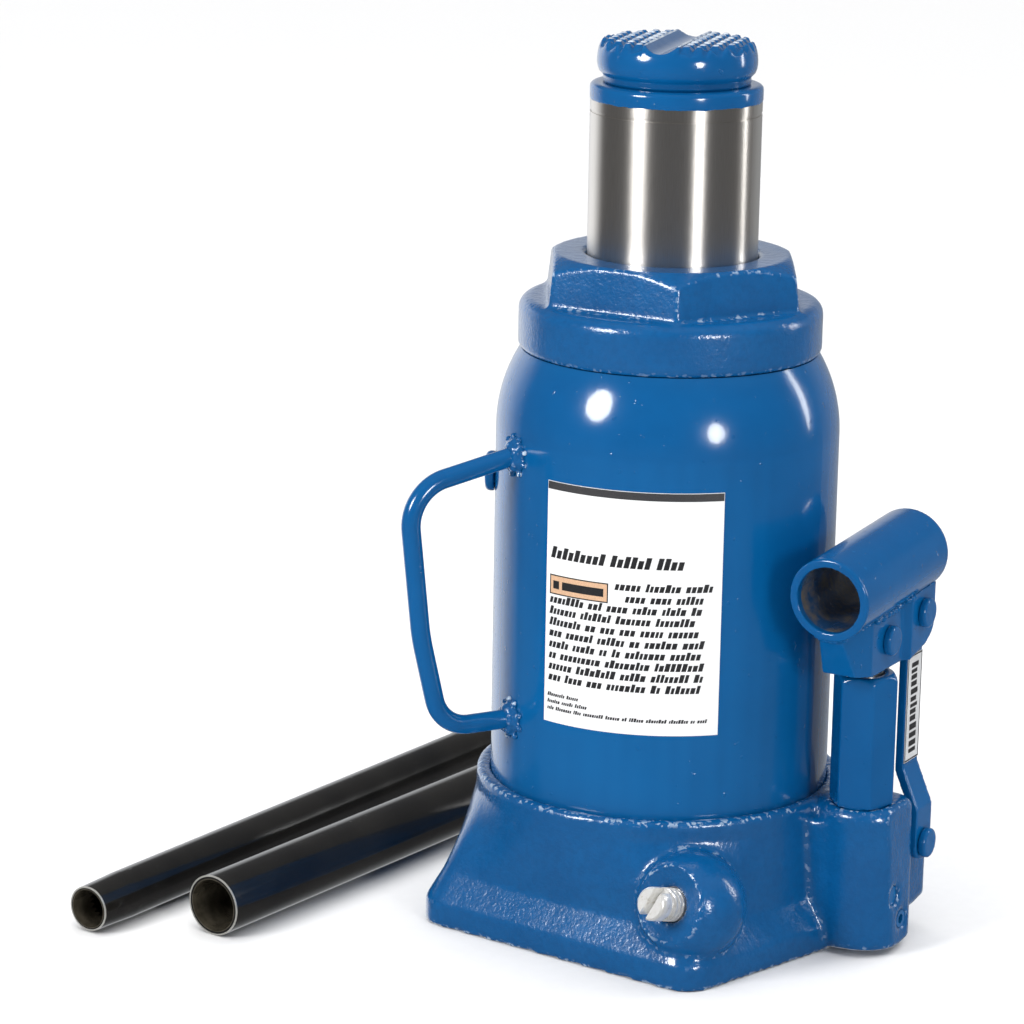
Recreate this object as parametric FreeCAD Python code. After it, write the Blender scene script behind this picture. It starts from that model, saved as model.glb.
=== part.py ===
import FreeCAD, Part
import os
from math import atan2, cos, degrees, pi, radians, sin, sqrt

# Hydraulic bottle jack, 20 tonne class, with its two-piece pumping handle lying beside it.
# Millimetres. Z is up, the base stands on Z = 0 and the ram's axis is the Z axis.
# The pump stands towards +X. The handle socket opens towards -Y, the side of the release valve.
# The ram is drawn raised by RAM_RAISE, and the pump's plunger is drawn near the bottom of its stroke.

# ---------------------------------------------------------------- driving dimensions
FIT = 0.05                  # radial running clearance of a shaft in its bore

BASE_SIDES = [(-96.2, 64.9), (-17, 69.2), (17, 69.2), (96.2, 64.9), (164, 72), (-164, 72)]
BASE_CORNER_R = 11          # each side of the foot: its normal's azimuth, its distance from the axis
FOOT_Z = 8                  # top of the foot's vertical edge
SLOPE_Z = 17.5              # where the foot's sloping top meets the flank
SLOPE_IN = 5.5
RING_R = 61.8               # round top of the base, in which the tank stands
RING_LOW_Z = 43
RING_Z = 50
BASE_FLOOR_Z = 36           # floor of the oil reservoir
CYLINDER_SEAT_Z = 32

TANK_R = 57.15              # 4 inch pipe
TANK_WALL = 4
TANK_LOW_Z = 40
TANK_TOP_Z = 195
SHOULDER_Z = 168            # where the tank's wall starts to turn in
SHOULDER_R = 50.7

CYLINDER_R = 38
CYLINDER_BORE_R = 31
CYLINDER_TOP_Z = 211

FLANGE_R = 50.3             # round flange of the top nut
FLANGE_TOP_Z = 212
NUT_TOP_Z = 227.2
NUT_HEX_R = 47.3            # to the hexagon's corners
NUT_FACE_R = 38.8           # round top face inside the chamfer

RAM_R = 28.15
RAM_RAISE = 50
RAM_TOP_Z = 233 + RAM_RAISE
RAM_LOW_Z = 50 + RAM_RAISE
PISTON_H = 14
SCREW_R = 18                # extension screw, drawn plain at its thread's crests
SCREW_LENGTH = 84
SADDLE_R = 26.2
SADDLE_FACE_R = 24.6
SADDLE_H = 15

PUMP_X = 75.9
BLOCK_Y = 4                 # the pump block's centre stands a little behind the pump's axis
BLOCK_R = 16
BLOCK_FLAT_X = 90.5         # the block's end face at its foot; it leans in by BLOCK_DRAFT at the top
BLOCK_DRAFT = 2
BLOCK_LOW_Z = 2             # the block hangs clear of the floor
BLOCK_TOP_Z = 51
HEX_FLAT_R = 9.5            # hexagonal pump cylinder, half its width across flats
HEX_TURN = 10.5
HEX_TOP_Z = 95.5
PLUNGER_R = 6
PLUNGER_LOW_Z = 58
PLUNGER_PIN_Z = 107.5
EYE_HALF = 5.2              # half the thickness of the plunger's flattened head
FLATS_Z = 92.8

LINK_Y = 22.5
LINK_TOP_PIN_Z = 112
LINK_LOW_PIN_Z = 32.5
LINK_THICK = 3
LINK_IN_TOP = 4.3           # inner face of a link, from the pump's centre plane
LINK_IN_LOW = 10.2
LINK_CRANK_Z = (44, 45.2, 57.8, 59)   # heights of the crank's four corners
LINK_HALF_W = 6
LUG_HALF = 9.9
LUG_TOP_Z = 43.5
LUG_FRONT_Y = 15.6          # the base stays in front of this wherever the links pass
LUG_PROFILE = [(0, 8.5), (23, 8.8), (33.5, 10), (33.5, 32.5), (11.5, 32.5), (0, 40)]   # (y, z)
PIN_R = 3.0
TOP_PIN_R = 2.8
TOP_EYE_R = 3.85            # open pivot of the linkage: the eye is 1.05 larger than its pin
HEAD_R = 5
HEAD_H = 2.5

PLATE = 2.3                 # sheet of the bracket under the socket
BRACKET_HALF = 7.8          # outer half width beside the plunger
BRACKET_REAR_HALF = 9.9     # outer half width behind the joggle, over the links
# half width and distance back of the bracket's outer face, from its nose to its open rear
BRACKET_PLAN = [(2.6, -34), (4.8, -26), (BRACKET_HALF, -13), (BRACKET_HALF, 10.5), (BRACKET_REAR_HALF, 13),
                (BRACKET_REAR_HALF, 40)]
# the bracket seen from the side, (y, z): its front leans back towards the bottom
BRACKET_NOSE = [(-28.7, 122), (-27.8, 112), (-20.8, 99.3)]
BRACKET_PROFILE = BRACKET_NOSE + [(-12, 97.8), (13, 97.8), (25, 100.5), (31.5, 104.5), (31.5, 122)]
SOCKET_R = 13.8
SOCKET_BORE_R = 11
SOCKET_LENGTH = 63.4
SOCKET_MID_Z = 128.65
SOCKET_TILT = 3.5           # the open end lies lower

VALVE_MOUTH = (39.8, -65.6, 27.5)
VALVE_AZIMUTH = -102
VALVE_TILT = 16
VALVE_R = 5.5
VALVE_OUT = 10.5
VALVE_IN = 32
MOUND_R = 18                # round swelling of the flank about the valve
MOUND_DEEP = 12             # its centre, behind the mouth
SPOT_FACE_R = 12.5          # flat face cut into it at the mouth
COUNTERBORE_R = 6.3
COUNTERBORE_DEEP = 1.5

HANDLE_AZIMUTH = -122
HANDLE_ROD_R = 3.2
HANDLE_ROUTE = [(56.6, 163.8), (96.4, 155.6), (91, 106), (83.4, 74), (56.6, 74)]     # (radius, z)
HANDLE_BENDS = [15, 70, 13]

PLUG_AZIMUTH = -154
PLUG_Z = 151
PLUG_SHANK_R = 5

LABEL_AZIMUTHS = (-103.8, -43.1)
LABEL_Z = (78.2, 159.2)
LABEL_THICK = 0.2

TUBE_LENGTH = 300           # each half of the pumping handle
PLAIN_TUBE = {"start": (-109.7, -107.5), "azimuth": 84.2, "r": 10.4, "wall": 1.5}
NOSED_TUBE = {"start": (-146.2, -127.8), "azimuth": 85.5, "r": 8.2, "wall": 1.2, "nose_r": 7.7, "nose": 17}


# small pieces inside
GASKET_H = 1.5
WIPER_R = 31.5
WIPER_Z = 219
WIPER_H = 4
STOP_RING_H = 4
STUB_R = 12                 # threaded end of the ram, under its piston rings
CHANNEL_R = 8.5             # smooth channel across the saddle
CHANNEL_DEEP = 2.4
CHANNEL_AZIMUTH = 104
PACKING_R = 8
PACKING_Z = 85.5
CHECK_Z = 20                # oil way from the pump to the ram
CHECK_PLUG_R = 3.2
RELIEF_Y = 5.5
RELIEF_Z = 10.5
RELIEF_R = 3
O_RING_AT = -16             # along the valve, from its mouth
SERIAL_Z = (60.4, 97.5)


# ---------------------------------------------------------------- helpers
def vec(x, y, z):
    return FreeCAD.Vector(x, y, z)


X = vec(1, 0, 0)
Y = vec(0, 1, 0)
Z = vec(0, 0, 1)
ORIGIN = vec(0, 0, 0)


def save(name, *solids):
    """Writes one node, as one solid or as a group of separate solids."""
    shape = solids[0] if len(solids) == 1 else Part.makeCompound(list(solids))
    shape.exportStep("parts/" + name + ".step")


def cylinder(radius, z0, z1, x=0, y=0):
    return Part.makeCylinder(radius, z1 - z0, vec(x, y, z0))


def ring(outer, inner, z0, z1, x=0, y=0):
    return cylinder(outer, z0, z1, x, y).cut(cylinder(inner, z0 - 1, z1 + 1, x, y))


def rod(radius, start, direction, length):
    return Part.makeCylinder(radius, length, start, direction)


def cross_rod(radius, y, z, half):
    """A rod along X through the pump's centre plane."""
    return rod(radius, vec(PUMP_X - half, y, z), X, 2 * half)


def box(x0, x1, y0, y1, z0, z1):
    return Part.makeBox(x1 - x0, y1 - y0, z1 - z0, vec(x0, y0, z0))


def lathe(profile, angle=360, start=0):
    """Turns a closed outline of (radius, z) points, or ready edges, about the Z axis."""
    points = [vec(r, 0, z) for r, z in profile]
    face = Part.Face(Part.makePolygon(points + points[:1]))
    solid = face.revolve(ORIGIN, Z, angle)
    solid.rotate(ORIGIN, Z, start)
    return solid


def prism_x(outline, x0, x1):
    """Extrudes a closed (y, z) outline along X."""
    points = [vec(x0, y, z) for y, z in outline]
    return Part.Face(Part.makePolygon(points + points[:1])).extrude(vec(x1 - x0, 0, 0))


def prism_y(outline, y0, y1):
    """Extrudes a closed (x, z) outline along Y."""
    points = [vec(x, y0, z) for x, z in outline]
    return Part.Face(Part.makePolygon(points + points[:1])).extrude(vec(0, y1 - y0, 0))


def hexagon(corner_r, z0, z1, x=0, y=0, turn=0, shrink=0):
    """A hexagonal prism with its first corner at azimuth turn; shrink narrows its top end."""
    wires = []
    for radius, z in ((corner_r, z0), (corner_r - shrink, z1)):
        points = [vec(x + radius * cos(radians(turn + 60 * i)), y + radius * sin(radians(turn + 60 * i)), z)
                  for i in range(7)]
        wires.append(Part.makePolygon(points))
    return Part.makeLoft(wires, True, True)


def radial(azimuth):
    return vec(cos(radians(azimuth)), sin(radians(azimuth)), 0)


def rounded(solid, radius, wanted):
    """Fillets the edges that pass the test."""
    edges = [edge for edge in solid.Edges if wanted(edge)]
    return solid.makeFillet(radius, edges)


def level_edge(z, tolerance=0.01):
    """A test for edges that lie flat at height z."""
    return lambda edge: abs(edge.BoundBox.ZMin - z) < tolerance and abs(edge.BoundBox.ZMax - z) < tolerance


def bent_rod(radius, points, bends):
    """A rod of straight runs joined by tangent arcs; one bend radius for each inner point."""
    edges = []
    here = points[0]
    for corner, after, bend in zip(points[1:-1], points[2:], bends):
        into = (corner - here).normalize()
        out = (after - corner).normalize()
        turn = into.getAngle(out)
        setback = bend * sin(turn / 2) / cos(turn / 2)
        first = corner - into * setback
        last = corner + out * setback
        inward = (out - into).normalize()
        middle = corner + inward * (bend / cos(turn / 2) - bend)
        edges.append(Part.LineSegment(here, first).toShape())
        edges.append(Part.Arc(first, middle, last).toShape())
        here = last
    edges.append(Part.LineSegment(here, points[-1]).toShape())
    section = Part.Wire(Part.Circle(points[0], (points[1] - points[0]).normalize(), radius).toShape())
    return Part.Wire(edges).makePipeShell([section], True, False)


def spring(radius, wire_r, z0, z1, turns, x=0, y=0):
    """A coil spring between two heights, its ends lying inside them."""
    helix = Part.makeHelix((z1 - z0 - 2 * wire_r) / turns, z1 - z0 - 2 * wire_r, radius)
    helix.translate(vec(x, y, z0 + wire_r))
    start = helix.Edges[0].valueAt(helix.Edges[0].FirstParameter)
    section = Part.Wire(Part.Circle(start, helix.Edges[0].tangentAt(helix.Edges[0].FirstParameter),
                                    wire_r).toShape())
    return Part.Wire(helix).makePipeShell([section], True, True)


# ---------------------------------------------------------------- base casting
def foot_corners(inset):
    """Each rounded corner of the foot's outline: the arc's centre and its two sides' azimuths."""
    corners = []
    radius = BASE_CORNER_R - inset * 0.5
    for (a0, d0), (a1, d1) in zip(BASE_SIDES, BASE_SIDES[1:] + BASE_SIDES[:1]):
        e0 = d0 - inset - radius
        e1 = d1 - inset - radius
        turn = sin(radians(a1 - a0))
        x = (e0 * sin(radians(a1)) - e1 * sin(radians(a0))) / turn
        y = (e1 * cos(radians(a0)) - e0 * cos(radians(a1))) / turn
        corners.append((vec(x, y, 0), a0, a1))
    return corners, radius


def foot_wire(inset, z):
    """The foot's rounded outline at height z, and the azimuths of its vertices about the axis."""
    corners, radius = foot_corners(inset)
    arcs = []
    for centre, a0, a1 in corners:
        half_turn = ((a1 - a0) % 360) / 2
        lift = centre + vec(0, 0, z)
        arcs.append([lift + radial(a0 + k * half_turn) * radius for k in (0, 1, 2)])
    edges = []
    vertices = []
    for arc, following in zip(arcs, arcs[1:] + arcs[:1]):
        edges.append(Part.Arc(*arc).toShape())
        edges.append(Part.LineSegment(arc[2], following[0]).toShape())
        vertices += [arc[0], arc[2]]
    return Part.Wire(edges), [degrees(atan2(p.y, p.x)) for p in vertices]


def round_wire(radius, z, azimuths):
    """A circle cut into arcs at the given azimuths, so that it lofts to an outline with those vertices."""
    edges = []
    for a0, a1 in zip(azimuths, azimuths[1:] + azimuths[:1]):
        half = ((a1 - a0) % 360) / 2
        points = [radial(a0 + k * half) * radius + vec(0, 0, z) for k in (0, 1, 2)]
        edges.append(Part.Arc(*points).toShape())
    return Part.Wire(edges)


def valve_axis():
    tilt = radians(VALVE_TILT)
    return radial(VALVE_AZIMUTH) * cos(tilt) + Z * sin(tilt)


def make_base():
    low, _ = foot_wire(0, 0)
    edge, _ = foot_wire(0, FOOT_Z)
    crease, azimuths = foot_wire(SLOPE_IN, SLOPE_Z)
    shape = Part.makeLoft([low, edge], True, True)
    shape = shape.fuse(Part.makeLoft([edge, crease], True, True))
    shape = shape.fuse(Part.makeLoft([crease, round_wire(RING_R, RING_LOW_Z, azimuths)], True, True))
    top = rounded(cylinder(RING_R, RING_LOW_Z, RING_Z), 1.5, level_edge(RING_Z))
    shape = shape.fuse(top)
    # pump block, joined to the ring, with a flat end face
    block = rounded(cylinder(BLOCK_R, BLOCK_LOW_Z, BLOCK_TOP_Z, PUMP_X, BLOCK_Y), 4, level_edge(BLOCK_TOP_Z))
    block = rounded(block, 2.5, level_edge(BLOCK_LOW_Z))
    bridge = box(50, PUMP_X, BLOCK_Y - BLOCK_R + 1, BLOCK_Y + BLOCK_R - 1, BLOCK_LOW_Z, RING_Z - 5)
    lug = prism_x(LUG_PROFILE, PUMP_X - LUG_HALF, PUMP_X + LUG_HALF)
    lug = lug.fuse(cross_rod(LUG_TOP_Z - LINK_LOW_PIN_Z, LINK_Y, LINK_LOW_PIN_Z, LUG_HALF))
    mouth = vec(*VALVE_MOUTH)
    axis = valve_axis()
    mound = Part.makeSphere(MOUND_R, mouth - axis * MOUND_DEEP)
    shape = shape.fuse([block, bridge, lug, mound])
    shape = shape.cut(rod(SPOT_FACE_R, mouth, axis, 40))
    top_x = BLOCK_FLAT_X - BLOCK_DRAFT
    beyond = [(BLOCK_FLAT_X, -1), (top_x, BLOCK_TOP_Z + 1), (120, BLOCK_TOP_Z + 1), (120, -1)]
    shape = shape.cut(prism_y(beyond, -30, 40))
    shape = shape.cut(box(-100, 110, -100, 100, -30, 0))
    # room for the links beside and above the lug
    shape = shape.cut(box(PUMP_X - 17.5, PUMP_X - LUG_HALF, LUG_FRONT_Y, 40, 22, 60))
    shape = shape.cut(box(PUMP_X + LUG_HALF, PUMP_X + 25, LUG_FRONT_Y, 40, -1, 60))
    shape = shape.cut(box(PUMP_X - LUG_HALF - 1, PUMP_X + LUG_HALF + 1, LUG_FRONT_Y, 40, LUG_TOP_Z, 60))
    # reservoir floor, groove for the tank, seat of the hydraulic cylinder
    shape = shape.cut(cylinder(TANK_R - TANK_WALL - 1, BASE_FLOOR_Z, RING_Z + 1))
    shape = shape.cut(cylinder(TANK_R, TANK_LOW_Z, RING_Z + 1))
    shape = shape.cut(cylinder(TANK_R, TANK_LOW_Z - 2, TANK_LOW_Z + 1))
    shape = shape.cut(cylinder(CYLINDER_R, CYLINDER_SEAT_Z, BASE_FLOOR_Z + 1))
    # pump well, oil way to the ram, linkage pin
    shape = shape.cut(cylinder(9, 28, BLOCK_TOP_Z + 1, PUMP_X))
    shape = shape.cut(cylinder(3, CHECK_Z, 29, PUMP_X))
    shape = shape.cut(rod(2, vec(0, 0, CHECK_Z), X, PUMP_X))
    shape = shape.cut(cylinder(2, CHECK_Z, CYLINDER_SEAT_Z + 1))
    shape = shape.cut(rod(CHECK_PLUG_R, vec(PUMP_X - 3, 0, CHECK_Z), X, 20))
    shape = shape.cut(rod(RELIEF_R, vec(BLOCK_FLAT_X - 8.5, RELIEF_Y, RELIEF_Z), X, 20))
    shape = shape.cut(cross_rod(PIN_R, LINK_Y, LINK_LOW_PIN_Z, LUG_HALF + 1))
    # release valve bore and its ball's seat
    shape = shape.cut(rod(VALVE_R + FIT, mouth + axis, axis * -1, VALVE_IN + 6.5))
    shape = shape.cut(rod(COUNTERBORE_R, mouth + axis, axis * -1, COUNTERBORE_DEEP + 1))
    return shape.removeSplitter()


# ---------------------------------------------------------------- tank, cylinder and top nut
def shoulder_radius(z, outer_r):
    """Radius of the tank's turned-in shoulder at height z."""
    arc = SHOULDER_R - (TANK_R - outer_r)
    return outer_r - arc + sqrt(arc ** 2 - (z - SHOULDER_Z) ** 2)


def tank_half(outer_r, z0, z1):
    """Solid of revolution under the tank's straight wall and its shoulder arc."""
    r1 = shoulder_radius(z1, outer_r)
    middle_z = (SHOULDER_Z + z1) / 2
    middle = vec(shoulder_radius(middle_z, outer_r), 0, middle_z)
    arc = Part.Arc(vec(outer_r, 0, SHOULDER_Z), middle, vec(r1, 0, z1))
    points = [vec(r1, 0, z1), vec(0, 0, z1), vec(0, 0, z0), vec(outer_r, 0, z0), vec(outer_r, 0, SHOULDER_Z)]
    edges = [Part.LineSegment(a, b).toShape() for a, b in zip(points, points[1:])]
    return Part.Face(Part.Wire(edges + [arc.toShape()])).revolve(ORIGIN, Z, 360)


def make_tank():
    shape = tank_half(TANK_R, TANK_LOW_Z, TANK_TOP_Z)
    shape = shape.cut(tank_half(TANK_R - TANK_WALL, TANK_LOW_Z - 1, TANK_TOP_Z + 0.5))
    out = radial(PLUG_AZIMUTH)
    return shape.cut(rod(PLUG_SHANK_R + FIT, out * (TANK_R - 10) + Z * PLUG_Z, out, 20))


def make_top_nut():
    flange = rounded(cylinder(FLANGE_R, TANK_TOP_Z, FLANGE_TOP_Z), 4, level_edge(FLANGE_TOP_Z))
    flange = rounded(flange, 2, level_edge(TANK_TOP_Z))
    hexa = hexagon(NUT_HEX_R, FLANGE_TOP_Z - 2, NUT_TOP_Z, shrink=2)
    chamfer_z = NUT_TOP_Z - (NUT_HEX_R - NUT_FACE_R) * 0.55
    cone = lathe([(0, FLANGE_TOP_Z - 5), (NUT_HEX_R, FLANGE_TOP_Z - 5), (NUT_HEX_R, chamfer_z),
                  (NUT_FACE_R, NUT_TOP_Z), (0, NUT_TOP_Z)])
    shape = flange.fuse(hexa.common(cone)).removeSplitter()
    shape = shape.cut(cylinder(RAM_R + FIT, TANK_TOP_Z - 1, NUT_TOP_Z + 1))
    shape = shape.cut(cylinder(CYLINDER_R, TANK_TOP_Z - 1, CYLINDER_TOP_Z))
    shape = shape.cut(cylinder(WIPER_R, WIPER_Z, WIPER_Z + WIPER_H))
    lead_in = Part.makeCone(RAM_R + FIT, RAM_R + FIT + 1.2, 1.2, vec(0, 0, NUT_TOP_Z - 1.2))
    return shape.cut(lead_in)


def make_cylinder():
    shape = ring(CYLINDER_R, CYLINDER_BORE_R, CYLINDER_SEAT_Z + GASKET_H, CYLINDER_TOP_Z)
    vent = rod(1.5, vec(0, 0, CYLINDER_TOP_Z - 20), Y, CYLINDER_R + 1)
    return shape.cut(vent)


# ---------------------------------------------------------------- ram, extension screw and saddle
def make_ram():
    shape = rounded(cylinder(RAM_R, RAM_LOW_Z, RAM_TOP_Z), 1.6, level_edge(RAM_TOP_Z))
    groove_z = RAM_TOP_Z - 9.5
    shape = shape.cut(ring(RAM_R + 1, RAM_R - 0.35, groove_z, groove_z + 0.9))
    bore_low = RAM_TOP_Z - SCREW_LENGTH - STOP_RING_H - 4
    shape = shape.cut(cylinder(SCREW_R + FIT, bore_low, RAM_TOP_Z + 1))
    stub = cylinder(STUB_R, RAM_LOW_Z - PISTON_H, RAM_LOW_Z)
    return shape.fuse(stub)


def make_saddle_screw():
    """Extension screw and the saddle forged on its head."""
    z0 = RAM_TOP_Z
    top = z0 + SADDLE_H
    neck = cylinder(24, z0, z0 + 3)
    profile = [(0, z0 + 2.4), (23.6, z0 + 2.4), (25.2, z0 + 3.6), (SADDLE_R, z0 + 6.4), (SADDLE_R, z0 + 8.2),
               (25.8, z0 + 11.4), (SADDLE_FACE_R + 0.2, z0 + 13.6), (SADDLE_FACE_R - 1.2, top - 0.3),
               (SADDLE_FACE_R - 2.4, top), (0, top)]
    head = lathe(profile)
    # smooth channel across the face, between the two gripping pads
    channel = rod(CHANNEL_R, vec(-60, 0, top + CHANNEL_R - CHANNEL_DEEP), X, 120)
    channel.rotate(ORIGIN, Z, CHANNEL_AZIMUTH)
    screw = cylinder(SCREW_R, z0 - SCREW_LENGTH, z0 + 1)
    neck_stub = cylinder(12, z0 - SCREW_LENGTH - STOP_RING_H, z0 - SCREW_LENGTH + 1)
    return neck.fuse([head, screw, neck_stub]).cut(channel).removeSplitter()


# ---------------------------------------------------------------- pump and its linkage
def make_pump_cylinder():
    corner_r = HEX_FLAT_R / cos(radians(30))
    shape = hexagon(corner_r, BLOCK_TOP_Z, HEX_TOP_Z, PUMP_X, 0, HEX_TURN)
    cone = Part.makeCone(corner_r + 14, HEX_FLAT_R - 0.3, 16, vec(PUMP_X, 0, HEX_TOP_Z - 16))
    lower = cylinder(corner_r + 1, BLOCK_TOP_Z, HEX_TOP_Z - 6, PUMP_X)
    shape = shape.common(cone.fuse(lower))
    shape = shape.fuse(cylinder(9, 29.5, BLOCK_TOP_Z + 1, PUMP_X))
    shape = shape.cut(cylinder(PLUNGER_R + FIT, 54, HEX_TOP_Z + 1, PUMP_X))
    shape = shape.cut(cylinder(3, 29, 55, PUMP_X))
    return shape.cut(cylinder(PACKING_R, PACKING_Z, PACKING_Z + 5, PUMP_X))


def make_plunger():
    eye_z = PLUNGER_PIN_Z
    shaft = cylinder(PLUNGER_R, PLUNGER_LOW_Z, eye_z, PUMP_X)
    shaft = shaft.cut(ring(PLUNGER_R + 1, PLUNGER_R - 1.5, PLUNGER_LOW_Z + 3, PLUNGER_LOW_Z + 6, PUMP_X))
    for x0, x1 in ((-10, -EYE_HALF), (EYE_HALF, 10)):
        shaft = shaft.cut(box(PUMP_X + x0, PUMP_X + x1, -10, 10, FLATS_Z, eye_z + 1))
    shape = shaft.fuse(cross_rod(6.5, 0, eye_z, EYE_HALF))
    return shape.cut(cross_rod(PIN_R + FIT, 0, eye_z, 10)).removeSplitter()


def make_links():
    """Two cranked flat links, a mirrored pair."""
    top = LINK_TOP_PIN_Z + LINK_HALF_W
    low = LINK_LOW_PIN_Z - LINK_HALF_W
    t = LINK_THICK
    z_in_low, z_out_low, z_in_top, z_out_top = LINK_CRANK_Z
    outline = [(LINK_IN_TOP, top), (LINK_IN_TOP + t, top), (LINK_IN_TOP + t, z_out_top),
               (LINK_IN_LOW + t, z_out_low), (LINK_IN_LOW + t, low), (LINK_IN_LOW, low),
               (LINK_IN_LOW, z_in_low), (LINK_IN_TOP, z_in_top)]
    side = box(0, 200, LINK_Y - LINK_HALF_W, LINK_Y + LINK_HALF_W, LINK_LOW_PIN_Z, LINK_TOP_PIN_Z)
    for z in (LINK_LOW_PIN_Z, LINK_TOP_PIN_Z):
        side = side.fuse(rod(LINK_HALF_W, vec(0, LINK_Y, z), X, 200))
    links = []
    for sign in (-1, 1):
        bar = prism_y([(PUMP_X + sign * x, z) for x, z in outline], LINK_Y - 10, LINK_Y + 10)
        bar = bar.common(side)
        bar = bar.cut(cross_rod(TOP_EYE_R, LINK_Y, LINK_TOP_PIN_Z, 30))
        links.append(bar.cut(cross_rod(PIN_R + FIT, LINK_Y, LINK_LOW_PIN_Z, 30)))
    return links


def socket_frame():
    """Middle of the socket and the direction in which it opens."""
    tilt = radians(SOCKET_TILT)
    return vec(PUMP_X, 0.2, SOCKET_MID_Z), vec(0, -cos(tilt), -sin(tilt))


def bracket_plan(inset):
    """Prism of the bracket's plan outline, its sides drawn in by inset."""
    right = [(half - inset, y) for half, y in BRACKET_PLAN]
    outline = right + [(-half, y) for half, y in reversed(right)]
    points = [vec(PUMP_X + half, y, 90) for half, y in outline]
    return Part.Face(Part.makePolygon(points + points[:1])).extrude(Z * 40)


def make_bracket():
    """Sheet channel under the socket: a narrow nose in front, stepped outwards behind to clear the links."""
    middle, opening = socket_frame()
    side = prism_x(BRACKET_PROFILE, PUMP_X - 20, PUMP_X + 20)
    side = rounded(side, 6, lambda edge: edge.BoundBox.YMin > 31 and edge.BoundBox.ZMax < 105
                   and edge.BoundBox.XLength > 10)
    inner = [(y + PLATE, z) for y, z in BRACKET_NOSE] + [(-20, 90), (50, 90), (50, 122)]
    inside = bracket_plan(PLATE).common(prism_x(inner, PUMP_X - 20, PUMP_X + 20))
    shape = bracket_plan(0).common(side).cut(inside)
    shape = shape.cut(rod(SOCKET_R, middle - opening * 60, opening, 120))
    shape = shape.cut(box(0, 200, -60, 60, SOCKET_MID_Z - 4, 200))
    shape = shape.cut(cross_rod(PIN_R, 0, PLUNGER_PIN_Z, 20))
    return shape.cut(cross_rod(TOP_PIN_R, LINK_Y, LINK_TOP_PIN_Z, 20)).removeSplitter()


def make_socket():
    middle, opening = socket_frame()
    start = middle - opening * (SOCKET_LENGTH / 2)
    shape = rounded(rod(SOCKET_R, start, opening, SOCKET_LENGTH), 0.8, lambda edge: edge.Length > 60
                    and edge.Length < 2 * pi * SOCKET_R + 1 and len(edge.Vertexes) == 1)
    shape = shape.cut(rod(SOCKET_BORE_R, start - opening, opening, SOCKET_LENGTH + 2))
    # pockets in the tube's underside, over the two link ends
    for sign in (-1, 1):
        middle_x = PUMP_X + sign * (LINK_IN_TOP + LINK_THICK / 2)
        half = LINK_THICK / 2 + 0.3
        shape = shape.cut(box(middle_x - half, middle_x + half, LINK_Y - 9, LINK_Y + 12, 100, 119.6))
    return shape


def make_socket_welds():
    """Weld beads in the corners between the tube and the bracket's two sides."""
    middle, opening = socket_frame()
    beads = []
    for sign in (-1, 1):
        drop = sqrt(SOCKET_R ** 2 - BRACKET_HALF ** 2)
        start = middle + vec(sign * (BRACKET_HALF + 0.5), 0, -drop + 0.2) + opening * -9
        bead = rod(1.3, start, opening, 23)
        plates = box(PUMP_X - BRACKET_HALF, PUMP_X + BRACKET_HALF, -60, 60, 0, 200)
        bead = bead.cut(rod(SOCKET_R, middle - opening * 60, opening, 120)).cut(plates)
        beads.append(max(bead.Solids, key=lambda solid: solid.Volume))
    return beads


def headed_pin(radius, y, z, half):
    """A pin along X with a round head at each end; half is half its length between the heads."""
    shape = cross_rod(radius, y, z, half)
    for sign in (-1, 1):
        end_x = PUMP_X + sign * (half + HEAD_H)
        head = rod(HEAD_R, vec(end_x, y, z), X * -sign, HEAD_H)
        head = rounded(head, 0.7, lambda edge: abs(edge.CenterOfMass.x - end_x) < 0.01)
        shape = shape.fuse(head)
    return shape


# ---------------------------------------------------------------- release valve
def make_release_valve():
    """Slotted valve screw: pointed inside, with two flats and a slot outside for the handle's notch."""
    shape = Part.makeCylinder(VALVE_R, VALVE_IN - 3 + VALVE_OUT, vec(0, 0, -VALVE_IN + 3))
    tip = Part.makeCone(1.5, VALVE_R, 3, vec(0, 0, -VALVE_IN))
    shape = shape.fuse(tip)
    shape = shape.cut(ring(VALVE_R + 1, VALVE_R - 1.6, O_RING_AT, O_RING_AT + 2.6))
    shape = shape.cut(ring(VALVE_R + 1, VALVE_R - 0.9, VALVE_OUT - 8, VALVE_OUT - 6.8))
    shape = shape.cut(box(-1.3, 1.3, -10, 10, VALVE_OUT - 5, VALVE_OUT + 1))
    return place_on_valve(shape)


def place_on_valve(shape):
    """Turns a shape drawn along +Z from the valve's mouth onto the valve's axis."""
    placement = FreeCAD.Placement(vec(*VALVE_MOUTH), FreeCAD.Rotation(Z, valve_axis()))
    shape.Placement = placement.multiply(shape.Placement)
    return shape


# ---------------------------------------------------------------- handles and small parts
def make_carry_handle():
    out = radial(HANDLE_AZIMUTH)
    points = [out * r + Z * z for r, z in HANDLE_ROUTE]
    shape = bent_rod(HANDLE_ROD_R, points, HANDLE_BENDS)
    return shape.cut(cylinder(TANK_R, 0, 200))


def make_handle_welds():
    """The two weld collars round the carry handle's ends."""
    out = radial(HANDLE_AZIMUTH)
    collars = []
    for r, z in (HANDLE_ROUTE[0], HANDLE_ROUTE[-1]):
        following = HANDLE_ROUTE[1] if z > 100 else HANDLE_ROUTE[-2]
        along = (out * (following[0] - r) + Z * (following[1] - z)).normalize()
        start = out * r + Z * z - along * 2
        collar = Part.makeCone(7, HANDLE_ROD_R + 0.4, 7, start, along)
        collar = collar.cut(cylinder(TANK_R, 0, 200)).cut(rod(HANDLE_ROD_R, start - along * 5, along, 30))
        collars.append(collar)
    return collars


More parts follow.
